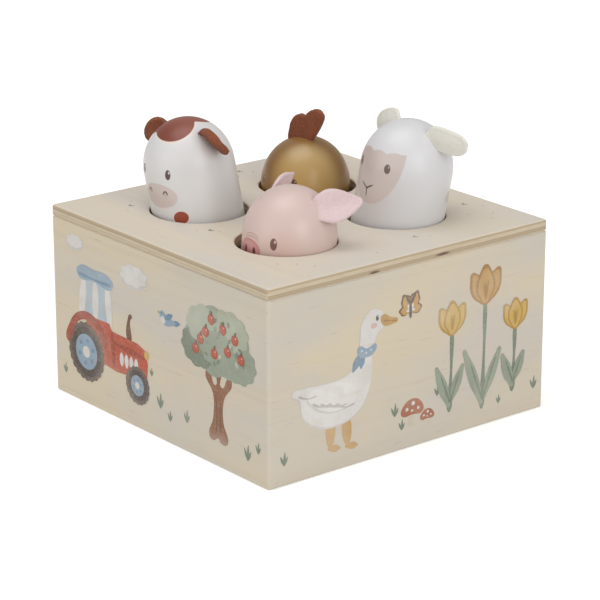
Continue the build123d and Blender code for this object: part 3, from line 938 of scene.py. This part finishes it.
class Pen:
    """Draws closed shapes on a sheet, counted from a place of its own and in a unit of its own."""

    def __init__(self, sheet, x=0.0, y=0.0, unit=1.0):
        self.shapes, self.x, self.y, self.unit = drawn[sheet], x, y, unit

    def shape(self, layer, ink, points, smooth=True):
        placed = [(self.x + u * self.unit, self.y + v * self.unit) for u, v in points]
        self.shapes.append((layer, ink, placed, smooth))

    def oval(self, layer, ink, x, y, half_x, half_y, turn=0.0, lumps=0, depth=0.0, start=0.0):
        """lumps and depth give the oval a woolly or leafy edge."""
        count = max(16, lumps * 4)
        c, s = away(turn, 1)
        points = []
        for step in range(count):
            angle = 2 * math.pi * step / count
            swell = 1 + depth * abs(math.sin(lumps * angle / 2 + start)) if lumps else 1
            u, v = half_x * swell * math.cos(angle), half_y * swell * math.sin(angle)
            points.append((x + u * c - v * s, y + u * s + v * c))
        self.shape(layer, ink, points)

    def petal(self, layer, ink, x, y, length, width, turn, belly=0.5):
        """A leaf or petal that grows from a point."""
        half = [(0, 0), (0.18, 0.30), (belly, 0.5), (0.85, 0.27), (1, 0)]
        c, s = away(turn, 1)
        points = []
        for u, v in half + [(u, -v) for u, v in half[3:0:-1]]:
            points.append((x + u * length * c - v * width * s, y + u * length * s + v * width * c))
        self.shape(layer, ink, points)

    def stroke(self, layer, ink, points, width, end=None):
        """A brush stroke along points. Its width, in millimetres, goes to end."""
        end = width if end is None else end
        left, right = [], []
        for index, (x, y) in enumerate(points):
            before, after = points[max(index - 1, 0)], points[min(index + 1, len(points) - 1)]
            dx, dy = after[0] - before[0], after[1] - before[1]
            half = (width + (end - width) * index / (len(points) - 1)) / 2 / self.unit
            dx, dy = dx * half / math.hypot(dx, dy), dy * half / math.hypot(dx, dy)
            left.append((x - dy, y + dx))
            right.append((x + dy, y - dx))
        self.shape(layer, ink, left + right[::-1])


# %% Inks
sage, sage_dark, sage_pale = "9aa493", "7f8c7c", "b1b8a4"
white, wool_shade = "dfdcd8", "cfcbc8"
sky, sky_dark, sky_pale = "93aabd", "7390a9", "b6c4cd"
red, red_dark, terracotta = "bd5a43", "a34a37", "b0745c"
brown, brown_dark, taupe = "94684f", "7a5643", "bda797"
ochre, yellow, yellow_dark = "c39a5a", "d2b064", "b9924c"
ink_dark = "5c504c"


# %% Small motifs
def tuft(sheet, x, y, height):
    pen = Pen(sheet, x, y, height)
    for turn, share in ((114, 0.8), (86, 1.0), (63, 0.7)):
        pen.petal(1, sage_dark, 0, 0, share, 0.2, turn, 0.45)


def cloud(sheet, x, y, size):
    pen = Pen(sheet, x, y, size)
    pen.oval(1, wool_shade, 0, -0.06, 1, 0.52, 4, 9, 0.16)
    pen.oval(2, white, -0.02, 0.02, 0.9, 0.44, 4, 8, 0.2, 0.6)


def butterfly(sheet, x, y, size, ink, edge):
    pen = Pen(sheet, x, y, size)
    for turn, length, width in ((62, 1.0, 0.62), (118, 0.95, 0.6), (8, 0.72, 0.5), (172, 0.7, 0.48)):
        pen.petal(1, edge, 0, 0, 1.08 * length, 1.12 * width, turn, 0.66)
        pen.petal(2, ink, 0, 0, 0.94 * length, 0.88 * width, turn, 0.66)
        pen.petal(3, white, 0, 0, 0.42 * length, 0.3 * width, turn, 0.6)
    pen.oval(4, ink_dark, 0, 0.02, 0.09, 0.42, 2)
    for turn in (112, 66):
        pen.stroke(4, ink_dark, [(0, 0.35), (away(turn, 0.8)[0], 0.82)], 0.5, 0.35)


def mushroom(sheet, x, y, size, cap_ink):
    pen = Pen(sheet, x, y, size)
    pen.shape(1, "d8cdbd", [(-0.17, 0), (-0.12, 0.5), (0, 0.62), (0.12, 0.5), (0.19, 0), (0, -0.04)])
    pen.shape(2, cap_ink, [(-0.52, 0.46), (-0.44, 0.78), (0, 1), (0.44, 0.77), (0.5, 0.45), (0, 0.4)])
    for u, v, r in ((-0.26, 0.64, 0.07), (0.03, 0.82, 0.08), (0.27, 0.6, 0.06), (-0.02, 0.55, 0.05)):
        pen.oval(3, white, u, v, r, r)


# %% Tulip and bird
def tulip(sheet, x, foot, height, size, ink, edge):
    pen = Pen(sheet, x, foot)
    pen.stroke(1, sage_dark, [(-1.0, 0), (-0.2, 0.5 * height), (0, height)], 1.5, 1.1)
    pen.petal(2, sage, -0.9, 2, 0.60 * height, 5.4, 112, 0.42)
    pen.petal(2, sage, -0.5, 4, 0.50 * height, 5.0, 66, 0.42)
    for turn in (112, 68):
        u, v = away(turn, 0.4 * height)
        pen.stroke(3, sage_dark, [(-0.7, 4), (u - 0.7, v + 4)], 0.45, 0.25)
    for turn in (118, 62):
        pen.petal(2, edge, 0, height - 1.2, 1.16 * size, 0.62 * size, turn)
        pen.petal(3, ink, 0, height - 0.6, 1.02 * size, 0.496 * size, turn)
    pen.petal(4, edge, 0, height - 1.6, 1.22 * size, 0.74 * size, 90, 0.42)
    pen.petal(5, ink, 0, height - 0.9, 1.06 * size, 0.60 * size, 90, 0.42)
    for turn in (97, 90, 82):
        end = (away(turn, 0.75 * size)[0], height + 0.62 * size)
        pen.stroke(6, edge, [(0, height + 1), end], 0.4, 0.2)


def bird(sheet, x, y, size):
    pen = Pen(sheet, x, y, size)
    body = [(0.9, 0.05), (0.4, 0.30), (-0.1, 0.42), (-0.45, 0.62), (-0.72, 0.58), (-0.84, 0.36)]
    pen.shape(2, sky, body + [(-0.78, 0.05), (-0.45, -0.25), (0.0, -0.34), (0.45, -0.2)])
    pen.petal(1, sky_dark, 0.5, 0, 0.95, 0.4, 12)
    pen.oval(3, white, -0.48, 0, 0.28, 0.24, -30)
    pen.petal(4, sky_dark, -0.28, 0.12, 1.0, 0.42, 28)
    pen.petal(3, ochre, -0.8, 0.42, 0.28, 0.16, 178)
    pen.oval(4, ink_dark, -0.62, 0.46, 0.05, 0.06)


# %% Tractor
def tractor(sheet, x, y):
    pen = Pen(sheet, x, y)
    pen.shape(1, sky_pale, [(10, 30), (13, 48), (30, 48), (31, 30)], smooth=False)
    for line in ([(9.5, 29), (12.5, 49)], [(31.5, 29), (30, 49)], [(20.5, 30), (21, 48)]):
        pen.stroke(2, white, line, 1.6)
    pen.shape(3, sky, [(7, 49), (8.2, 52.4), (20, 53.4), (32, 52.4), (34.5, 49), (20, 48)])
    pen.stroke(4, sky_dark, [(8.5, 49.2), (20, 48.9), (33, 49.2)], 0.8)
    body = [(14, 13), (12, 22), (14, 31), (31, 31.5), (33, 28.5), (52, 28), (58, 26), (59.5, 20)]
    pen.shape(3, red, body + [(58.5, 12.5), (36, 10.5)], smooth=False)
    pen.stroke(4, red_dark, [(34, 23.5), (57.5, 22.5)], 0.9)
    pen.stroke(4, red_dark, [(33, 28.5), (34, 12)], 0.9)
    for u in (40, 43.6, 47.2, 50.8):
        pen.stroke(4, white, [(u, 20.5), (u, 14.5)], 1.0)
    pen.oval(4, yellow, 58.6, 24.4, 1.7, 2.0)
    pen.stroke(2, brown_dark, [(46, 27), (46, 37.5), (47.6, 39.5)], 1.9)
    fender = [(-1.5, 15), (1.0, 25), (9, 31.5), (18, 32), (25.5, 28), (29, 20)]
    pen.shape(5, red_dark, fender + [(26.6, 19), (22, 26), (14, 28.6), (6, 25.5), (1.5, 18)])
    rear = (4, 13, 13.5, 22, (13.2, 11.4, 8.2, 5.4, 2.7))
    for layer, u, v, lugs, radii in (rear, (5, 51.5, 8.6, 18, (8.4, 6.9, 4.7, 3.0, 1.6))):
        tread, tyre, rim, spokes, hub = radii
        pen.oval(layer, "6b5f58", u, v, tread, tread, 0, lugs, 0.05)
        pen.oval(layer + 1, "544a46", u, v, tyre, tyre)
        pen.oval(layer + 2, sky, u, v, rim, rim)
        for step in range(6):
            du, dv = away(60 * step + 20, spokes)
            pen.oval(layer + 3, sky_dark, u + du, v + dv, 0.19 * spokes, 0.19 * spokes)
        pen.oval(layer + 3, white, u, v, hub, hub)


# %% Apple tree
def apple_tree(sheet, x, y):
    dice = random.Random(4)
    pen = Pen(sheet, x, y)
    trunk = [(-6, 0), (-3.4, 9), (-3.4, 20), (-8.5, 28), (-6.2, 29.5), (-1.6, 24), (-0.8, 32)]
    trunk += [(2.2, 32), (2.4, 24), (8.2, 30), (9.8, 28.2), (4.2, 19), (3.6, 9), (6.5, 0)]
    pen.shape(2, brown, trunk + [(2, -1), (0, 0.6), (-3, -1)])
    for line in ([(-1.2, 3), (-0.8, 12), (-1.4, 20)], [(1.8, 4), (1.4, 12), (1.9, 17)]):
        pen.stroke(3, brown_dark, line, 0.6, 0.3)
    crown = [(3, sage, 0, 43, 20, 14), (3, sage_dark, -13, 38, 11, 8.5), (3, sage, 14, 38, 11, 8.5)]
    crown += [(4, sage_pale, -8, 48, 12, 8.5), (4, sage_pale, 8, 50, 12, 8), (4, sage, 0, 40, 11, 7.5)]
    for index, leaves_patch in enumerate(crown):
        pen.oval(*leaves_patch, 0, 9 + index % 3, 0.12, index)
    for _ in range(26):
        angle, far = dice.uniform(0, 2 * math.pi), math.sqrt(dice.random())
        u, v = 19 * far * math.cos(angle), 43 + 11 * far * math.sin(angle)
        length, turn = dice.uniform(2.4, 3.6), dice.uniform(0, 360)
        pen.petal(5, dice.choice((sage_dark, "8b9887", "bcc3b0")), u, v, length, 1.7, turn)
    apples = [(-15, 37), (-8, 46), (-2, 38), (4, 50), (7, 41), (16, 40), (-4, 52.5), (12, 47.5)]
    for u, v in apples + [(-11.5, 42)]:
        pen.oval(6, red_dark, u, v - 0.2, 2.35, 2.3)
        pen.oval(7, red, u + 0.1, v, 1.9, 1.9)
        pen.oval(8, "dcb5a5", u + 0.7, v + 0.8, 0.5, 0.35, 40)
        pen.stroke(7, brown_dark, [(u, v + 1.5), (u + 0.6, v + 3.4)], 0.5, 0.4)


# %% Goose
def goose(sheet, x, y):
    pen = Pen(sheet, x, y)
    for leg in ([(21, 17), (20.5, 3)], [(29, 16), (30, 2)]):
        pen.stroke(1, ochre, leg, 1.9, 1.6)
    for u, v in ((19.1, 2.6), (28.6, 1.6)):
        pen.petal(2, ochre, u, v, 7.2, 3.0, -8, 0.72)
    body = [(0, 31), (4, 28), (6, 20), (14, 14), (25, 12.5), (35, 15.5), (41, 23), (43, 32), (43.4, 41)]
    body += [(45.4, 47), (49.2, 50.4), (49.4, 55.4), (45.4, 58.8), (40.2, 57.8), (37.2, 53.4)]
    body += [(36.4, 45), (34, 36), (28, 32.6), (15, 32), (7, 32.4)]
    pen.shape(2, wool_shade, [(u - 0.3, v - 0.9) for u, v in body])
    pen.shape(3, white, body)
    wing = [(8, 27.5), (16, 30.4), (26, 30), (33, 26), (33.6, 20.6), (27.5, 18.2), (18, 18.8)]
    wing += [(11.5, 22.4)]
    pen.shape(4, wool_shade, wing)
    pen.shape(5, "e6e3df", [(u + 0.5, v + 0.8) for u, v in wing])
    for step in range(4):
        u, v = 11 + 4.2 * step, 24.5 - step
        pen.stroke(6, "bdb7b5", [(u, v), (u + 5, v - 2.3), (u + 10, v - 1.9)], 0.6, 0.3)
    pen.stroke(6, "bdb7b5", [(3.6, 29.4), (9, 27.4), (13, 27.8)], 0.5, 0.3)
    pen.petal(5, sky_dark, 37.6, 41.6, 9.6, 3.6, -122, 0.62)
    pen.petal(5, sky_dark, 38.0, 41.4, 7.4, 3.2, -98, 0.62)
    pen.shape(6, sky, [(35.4, 40.4), (40, 38.6), (44.6, 40.2), (45.2, 43.4), (40.4, 42.4), (36, 44)])
    for u, v in ((37.4, 41.9), (39.8, 40.6), (42.4, 41.4)):
        pen.oval(7, white, u, v, 0.45, 0.45)
    pen.shape(4, ochre, [(48.2, 55.2), (53.4, 53.4), (57.2, 51.4), (54.6, 50.4), (48.8, 51.0)])
    pen.stroke(5, "a87a45", [(49.2, 52.7), (53, 52), (56.2, 51.4)], 0.45, 0.3)
    pen.oval(5, ink_dark, 45.8, 54.6, 0.85, 1.25)
    pen.oval(6, white, 46.1, 55.1, 0.28, 0.34)
    pen.oval(5, "d9b8ad", 43.9, 51.6, 1.7, 1.2)


# %% Windmill and pumpkin
def windmill(sheet, x, y):
    pen = Pen(sheet, x, y)
    pen.shape(1, white, [(-12, 0), (-7, 38), (7, 38), (12, 0)], smooth=False)
    for rise in (7, 15, 23, 31):
        half = 12 - 5 * rise / 38
        pen.stroke(2, wool_shade, [(-half, rise), (half, rise)], 0.5)
    pen.shape(2, red, [(-9, 38), (-6, 45), (0, 48), (6, 45), (9, 38), (0, 37)])
    pen.shape(3, brown, [(-3.6, 0), (-3.6, 9), (0, 11.6), (3.6, 9), (3.6, 0)], smooth=False)
    pen.oval(3, sky_dark, 0, 24, 2.3, 3.0)
    for turn in (28, 118, 208, 298):
        c, s = away(turn, 1)

        def on_arm(*places):
            return [(u * c - v * s, 40 + u * s + v * c) for u, v in places]

        pen.shape(4, sky_pale, on_arm((6, 0.4), (25, 0.4), (25, 6.4), (6, 5.4)), smooth=False)
        pen.stroke(6, brown, on_arm((0, 0), (26, 0)), 1.2, 0.9)
        for along in (8, 12, 16, 20, 24):
            pen.stroke(5, brown, on_arm((along, 0), (along, 6)), 0.6)
        pen.stroke(5, brown, on_arm((6, 3), (25, 3.2)), 0.5)
    pen.oval(7, brown_dark, 0, 40, 2.0, 2.0)


def pumpkin(sheet, x, y, size):
    pen = Pen(sheet, x, y, size)
    for layer, ink, shift in ((2, yellow_dark, 0.62), (3, ochre, 0.32)):
        pen.oval(layer, ink, -shift, 0, 0.46, 0.62)
        pen.oval(layer, ink, shift, 0, 0.46, 0.62)
    pen.oval(4, yellow, 0, 0, 0.46, 0.62)
    pen.stroke(5, sage_dark, [(0, 0.55), (0.1, 0.85), (0.34, 0.97)], 1.6, 1.0)
    pen.petal(5, sage, 0.06, 0.65, 0.7, 0.36, 168)


# %% Rabbit, carrot and sun
def rabbit(sheet, x, y):
    pen = Pen(sheet, x, y)
    pen.oval(1, white, 3.5, 9, 4.6, 4.2, 0, 8, 0.14)
    for u, v, turn in ((27, 37, 100), (30.5, 37.5, 74)):
        pen.petal(2, taupe, u, v, 20, 7.0, turn, 0.55)
        pen.petal(3, "d9b8ad", u, v + 2, 14, 3.4, turn, 0.55)
    body = [(4, 4), (3, 14), (8, 24), (16, 29), (23, 31), (28, 26), (31, 16), (32, 4), (18, 2)]
    pen.shape(3, taupe, body)
    fur, pale = "ab9484", "d5c8ba"
    pen.oval(4, fur, 12, 11, 9.6, 9.2, 20)
    pen.oval(5, taupe, 12.6, 11.4, 8.8, 8.4, 20)
    pen.oval(4, pale, 27, 15, 4.4, 9.0, 8)
    pen.oval(6, fur, 14, 3.4, 8.6, 2.7)
    pen.oval(6, fur, 29, 3.2, 4.6, 2.2)
    pen.oval(5, taupe, 29, 33.5, 9.6, 8.2, -8)
    pen.oval(6, pale, 35, 31, 3.6, 3.2, -10)
    pen.oval(7, brown_dark, 37.6, 32.6, 1.1, 0.8, -10)
    pen.oval(7, ink_dark, 30.6, 35.4, 1.05, 1.6)
    pen.oval(8, white, 31, 36, 0.34, 0.42)
    for rise in (28, 31.4):
        pen.stroke(7, "8f7a6d", [(35.6, 30.4), (41, rise)], 0.3, 0.2)


def carrot(sheet, x, y, size, turn):
    pen = Pen(sheet, x, y, size)
    pen.petal(3, "c07845", 0, 0, 1, 0.34, turn, 0.22)
    pen.petal(4, "cf8d57", 0, -0.02, 0.86, 0.22, turn, 0.22)
    for lean in (-24, 0, 24):
        pen.petal(2, sage if lean else sage_dark, 0, 0, 0.52, 0.15, turn + 180 + lean, 0.6)
    c, s = away(turn, 1)
    for share in (0.25, 0.42, 0.6):
        line = [(share * c + far * s, share * s - far * c) for far in (-0.08, 0.02)]
        pen.stroke(5, "a9653a", line, 0.45, 0.3)


def sun(sheet, x, y, size):
    pen = Pen(sheet, x, y, size)
    for turn in range(8, 368, 30):
        pen.petal(1, yellow, *away(turn, 1.15), 0.6, 0.26, turn)
    pen.oval(2, yellow_dark, 0, 0, 1, 1)
    pen.oval(3, yellow, 0.03, 0.05, 0.88, 0.88)


# %% [markdown]
# The front has a tractor and an apple tree, the right side a goose and tulips, the back a windmill and
# pumpkins, and the left side a rabbit and carrots. The top plate has only small tufts and dots between
# the holes.

# %% Four sides
tractor("front", 12, 11)
apple_tree("front", 121, 12)
cloud("front", 62, 69, 9.5)
cloud("front", 18, 74, 6.0)
bird("front", 86, 55, 6.4)

goose("right", 12, 8)
butterfly("right", 76, 62, 8.5, ochre, brown_dark)
tulip("right", 100, 11, 36, 13, yellow, yellow_dark)
tulip("right", 119, 8, 49, 15, ochre, "a97c45")
tulip("right", 137, 12, 30, 12, yellow, yellow_dark)
mushroom("right", 78, 10, 12, terracotta)
mushroom("right", 86.5, 8, 7.5, terracotta)

windmill("back", 46, 10)
cloud("back", 92, 68, 9)
cloud("back", 14, 66, 6.5)
pumpkin("back", 98, 18, 14)
pumpkin("back", 122, 15, 10.5)
bird("back", 124, 58, 7)

rabbit("left", 22, 10)
sun("left", 118, 62, 7.5)
cloud("left", 84, 68, 8)
for x, y, size, turn in ((90, 30, 19, -96), (104, 33, 22, -84), (119, 30, 18, -92)):
    carrot("left", x, y, size, turn)
mushroom("left", 138, 10, 13, red)
butterfly("left", 70, 44, 6, sky_pale, sky_dark)

# %% Grass on the sides, as (across, up, height) of each tuft
tufts = {
    "front": (
        (80, 14, 7), (87, 10, 5), (99, 13, 6), (141, 9, 7), (148, 14, 5), (8, 10, 5), (74, 27, 4)
    ),
    "right": ((68, 16, 6), (72, 9, 5), (92, 20, 5), (149, 10, 6), (8, 9, 6), (128, 8, 4)),
    "back": ((22, 11, 6), (70, 10, 7), (78, 15, 5), (138, 12, 6), (146, 17, 5), (110, 8, 4)),
    "left": ((12, 12, 6), (68, 10, 7), (77, 14, 5), (128, 11, 5), (148, 12, 6)),
}
for sheet, places in tufts.items():
    for place in places:
        tuft(sheet, *place)

# %% Tufts and dots on the top plate
top_pen = Pen("top")
for x, y in ((24, 25), (11, 96), (138, 92), (115, 141), (26, 140), (76, 30), (78, 128)):
    for turn in (122, 60):
        top_pen.petal(1, sage_dark, x, y, 2.6, 0.9, turn)
grey_dots = [(19, 30), (29, 21), (17, 92), (15, 102), (136, 30), (143, 34), (131, 24), (141, 99)]
grey_dots += [(133, 143), (122, 147)]
tan_dots = [(128, 133), (139, 137), (20, 137), (31, 146), (73, 26), (80, 33), (82, 124), (9, 68)]
tan_dots += [(145, 66)]
for ink, dots, half_x, half_y in (("a59b8c", grey_dots, 0.45, 0.4), ("b4a48e", tan_dots, 0.4, 0.45)):
    for x, y in dots:
        top_pen.oval(1, ink, x, y, half_x, half_y)
print("shapes:", {sheet: len(shapes) for sheet, shapes in drawn.items()})


# %% Ink finish
def ink_finish():
    finish = Finish("printed ink", roughness=0.55, specular=0.3)
    ink = finish.add("Attribute", {}, attribute_name="ink").outputs["Color"]
    wash = finish.noise(finish.place(), 110, 4, 0.6, 0.8)
    bloom = finish.noise(finish.place((1, 1, 1), (4, 2, 9)), 35, 2)
    speckle = finish.noise(finish.place((1, 1, 1), (1, 7, 3)), 1400, 2, 0.6)
    tone = finish.mix(finish.ease(wash, 0.35, 0.7, 0.0, 0.30), ink, (0.72, 0.68, 0.62, 1), "MULTIPLY")
    tone = finish.mix(finish.ease(bloom, 0.42, 0.7, 0.0, 0.32), tone, (0.55, 0.52, 0.48, 1), "SCREEN")
    tone = finish.mix(finish.ease(speckle, 0.45, 0.75, 0.0, 0.22), tone, chip("d8c8ac"))
    grain = finish.noise(finish.place((60, 60, 420)), 1.0, 5, 0.6)
    tone = finish.mix(finish.ease(grain, 0.5, 0.75, 0.0, 0.16), tone, chip("bfa886"))
    finish.bump(grain, 0.1, 0.0002)
    return finish.colour(tone)


# %% Which shape lies over which
shape_room = 0.3  # millimetres round a shape that count as its own, since curves swell past points


def stack(shapes):
    """The shapes from the lowest to the highest, each with its level: one above all it overlaps."""
    below = []
    for layer, ink, points, smooth in sorted(shapes, key=lambda shape: shape[0]):
        across, up = [x for x, y in points], [y for x, y in points]
        left, right = min(across) - shape_room, max(across) + shape_room
        low, high = min(up) - shape_room, max(up) + shape_room
        level = 0
        for its_left, its_right, its_low, its_high, its_level in below:
            if left < its_right and its_left < right and low < its_high and its_low < high:
                level = max(level, its_level + 1)
        below.append((left, right, low, high, level))
        yield level, ink, points, smooth


# %% Prints: all shapes of a sheet become one mesh
printed_ink = ink_finish()


def print_sheet(sheet):
    corner, to_right, upwards = sheets[sheet]
    outwards = Vector(to_right).cross(Vector(upwards))
    turn = Matrix((to_right, upwards, outwards)).transposed().to_4x4()
    pieces = []
    for level, ink, points, smooth in stack(drawn[sheet]):
        piece = flat_curve("shape", points, smooth)
        piece.data.resolution_u = 5
        piece.location.z = (first_gap + level_gap * level) * MM
        piece["ink"] = ink
        pieces.append(piece)
    selected_only(*pieces)
    bpy.ops.object.convert(target="MESH")
    bpy.ops.object.transform_apply(location=True, rotation=True, scale=True)
    for piece in pieces:
        inks = piece.data.color_attributes.new("ink", "FLOAT_COLOR", "CORNER")
        for value in inks.data:
            value.color = chip(piece["ink"])
    bpy.ops.object.join()
    piece = name_piece(sheet + "_print", printed_ink)
    del piece["ink"]
    settle(piece, Matrix.Translation(Vector(corner) * MM) @ turn)
    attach(piece, "box")
    print(piece.name, "shapes", len(drawn[sheet]), "faces", len(piece.data.polygons))


for sheet in sheets:
    print_sheet(sheet)

# %% [markdown]
# ## Floor, light and camera
# The toy stands on a plain white floor in soft light. The world gives about half of the light, as a
# white studio does. Three large lamps, overhead, at the right and in front, model the round heads. The
# floor glows only for the camera and in reflections, and the world is white only for the camera, so
# neither brightens the toy.


# %% Floor
floor_glow = 0.45
floor_gap = 0.2 * MM  # keeps the floor and the box's underside apart


def floor_finish():
    finish = Finish("white floor", roughness=0.9, specular=0.1)
    rays = finish.add("LightPath", {})
    seen = finish.math("MAXIMUM", rays.outputs["Is Camera Ray"], rays.outputs["Is Glossy Ray"])
    finish.shader.inputs["Emission Color"].default_value = (1, 1, 1, 1)
    finish.put(finish.shader.inputs["Emission Strength"], finish.math("MULTIPLY", seen, floor_glow))
    return finish.colour(chip("eeedeb"))


bpy.ops.mesh.primitive_plane_add(size=12, location=(0, 0, -floor_gap))
floor = name_piece("floor", floor_finish())
bpy.ops.object.transform_apply(location=True, rotation=True, scale=True)
print(floor.name, "lies", round(floor_gap / MM, 1), "mm below the box")

# %% World
world_light = 0.45  # how much light it gives
world_seen = 1.0  # how bright the camera sees it
world = bpy.data.worlds.new("white studio")
bpy.context.scene.world = world
world.use_nodes = True
sky_tree = world.node_tree
background = sky_tree.nodes["Background"]
paths = sky_tree.nodes.new("ShaderNodeLightPath")
strength = sky_tree.nodes.new("ShaderNodeMapRange")
strength.inputs["To Min"].default_value = world_light
strength.inputs["To Max"].default_value = world_seen
sky_tree.links.new(paths.outputs["Is Camera Ray"], strength.inputs["Value"])
sky_tree.links.new(strength.outputs[0], background.inputs["Strength"])
background.inputs["Color"].default_value = (1, 1, 1, 1)
print(world.name, "gives", world_light, "and is seen at", world_seen)


# %% Lamps
lamp_target = Vector((0, 0, 0.08))


def soft_lamp(name, place, size, watts):
    bpy.ops.object.light_add(type="AREA", location=place)
    lamp = bpy.context.object
    lamp.name = name
    lamp.data.shape = "SQUARE"
    lamp.data.size = size
    lamp.data.energy = watts
    aim = lamp_target - Vector(place)
    lamp.rotation_euler = aim.to_track_quat("-Z", "Y").to_euler()
    print(name, watts, "W,", round(aim.length, 2), "m away")


soft_lamp("overhead", (-0.15, -0.25, 1.5), 1.1, 8.8)
soft_lamp("right window", (1.6, -0.2, 0.7), 0.9, 9.0)
soft_lamp("front fill", (-0.2, -1.5, 0.4), 0.9, 3.3)

# %% Camera
place = Vector((0.87296, -0.70469, 0.42417))
to_right = Vector((0.6290, 0.7774, 0.0)).normalized()
forward = Vector((-0.73668, 0.59606, -0.31941)).normalized()
upwards = to_right.cross(forward)
turn = Matrix((to_right, upwards, -forward)).transposed()
bpy.ops.object.camera_add(location=place, rotation=turn.to_euler())
camera = bpy.context.object
camera.data.lens = 160.08
camera.data.sensor_width = 36
camera.data.clip_start = 0.01
scene = bpy.context.scene
scene.camera = camera
scene.view_settings.view_transform = "Standard"
print("camera", round(place.length, 2), "m away,", round(place.z, 2), "m high")
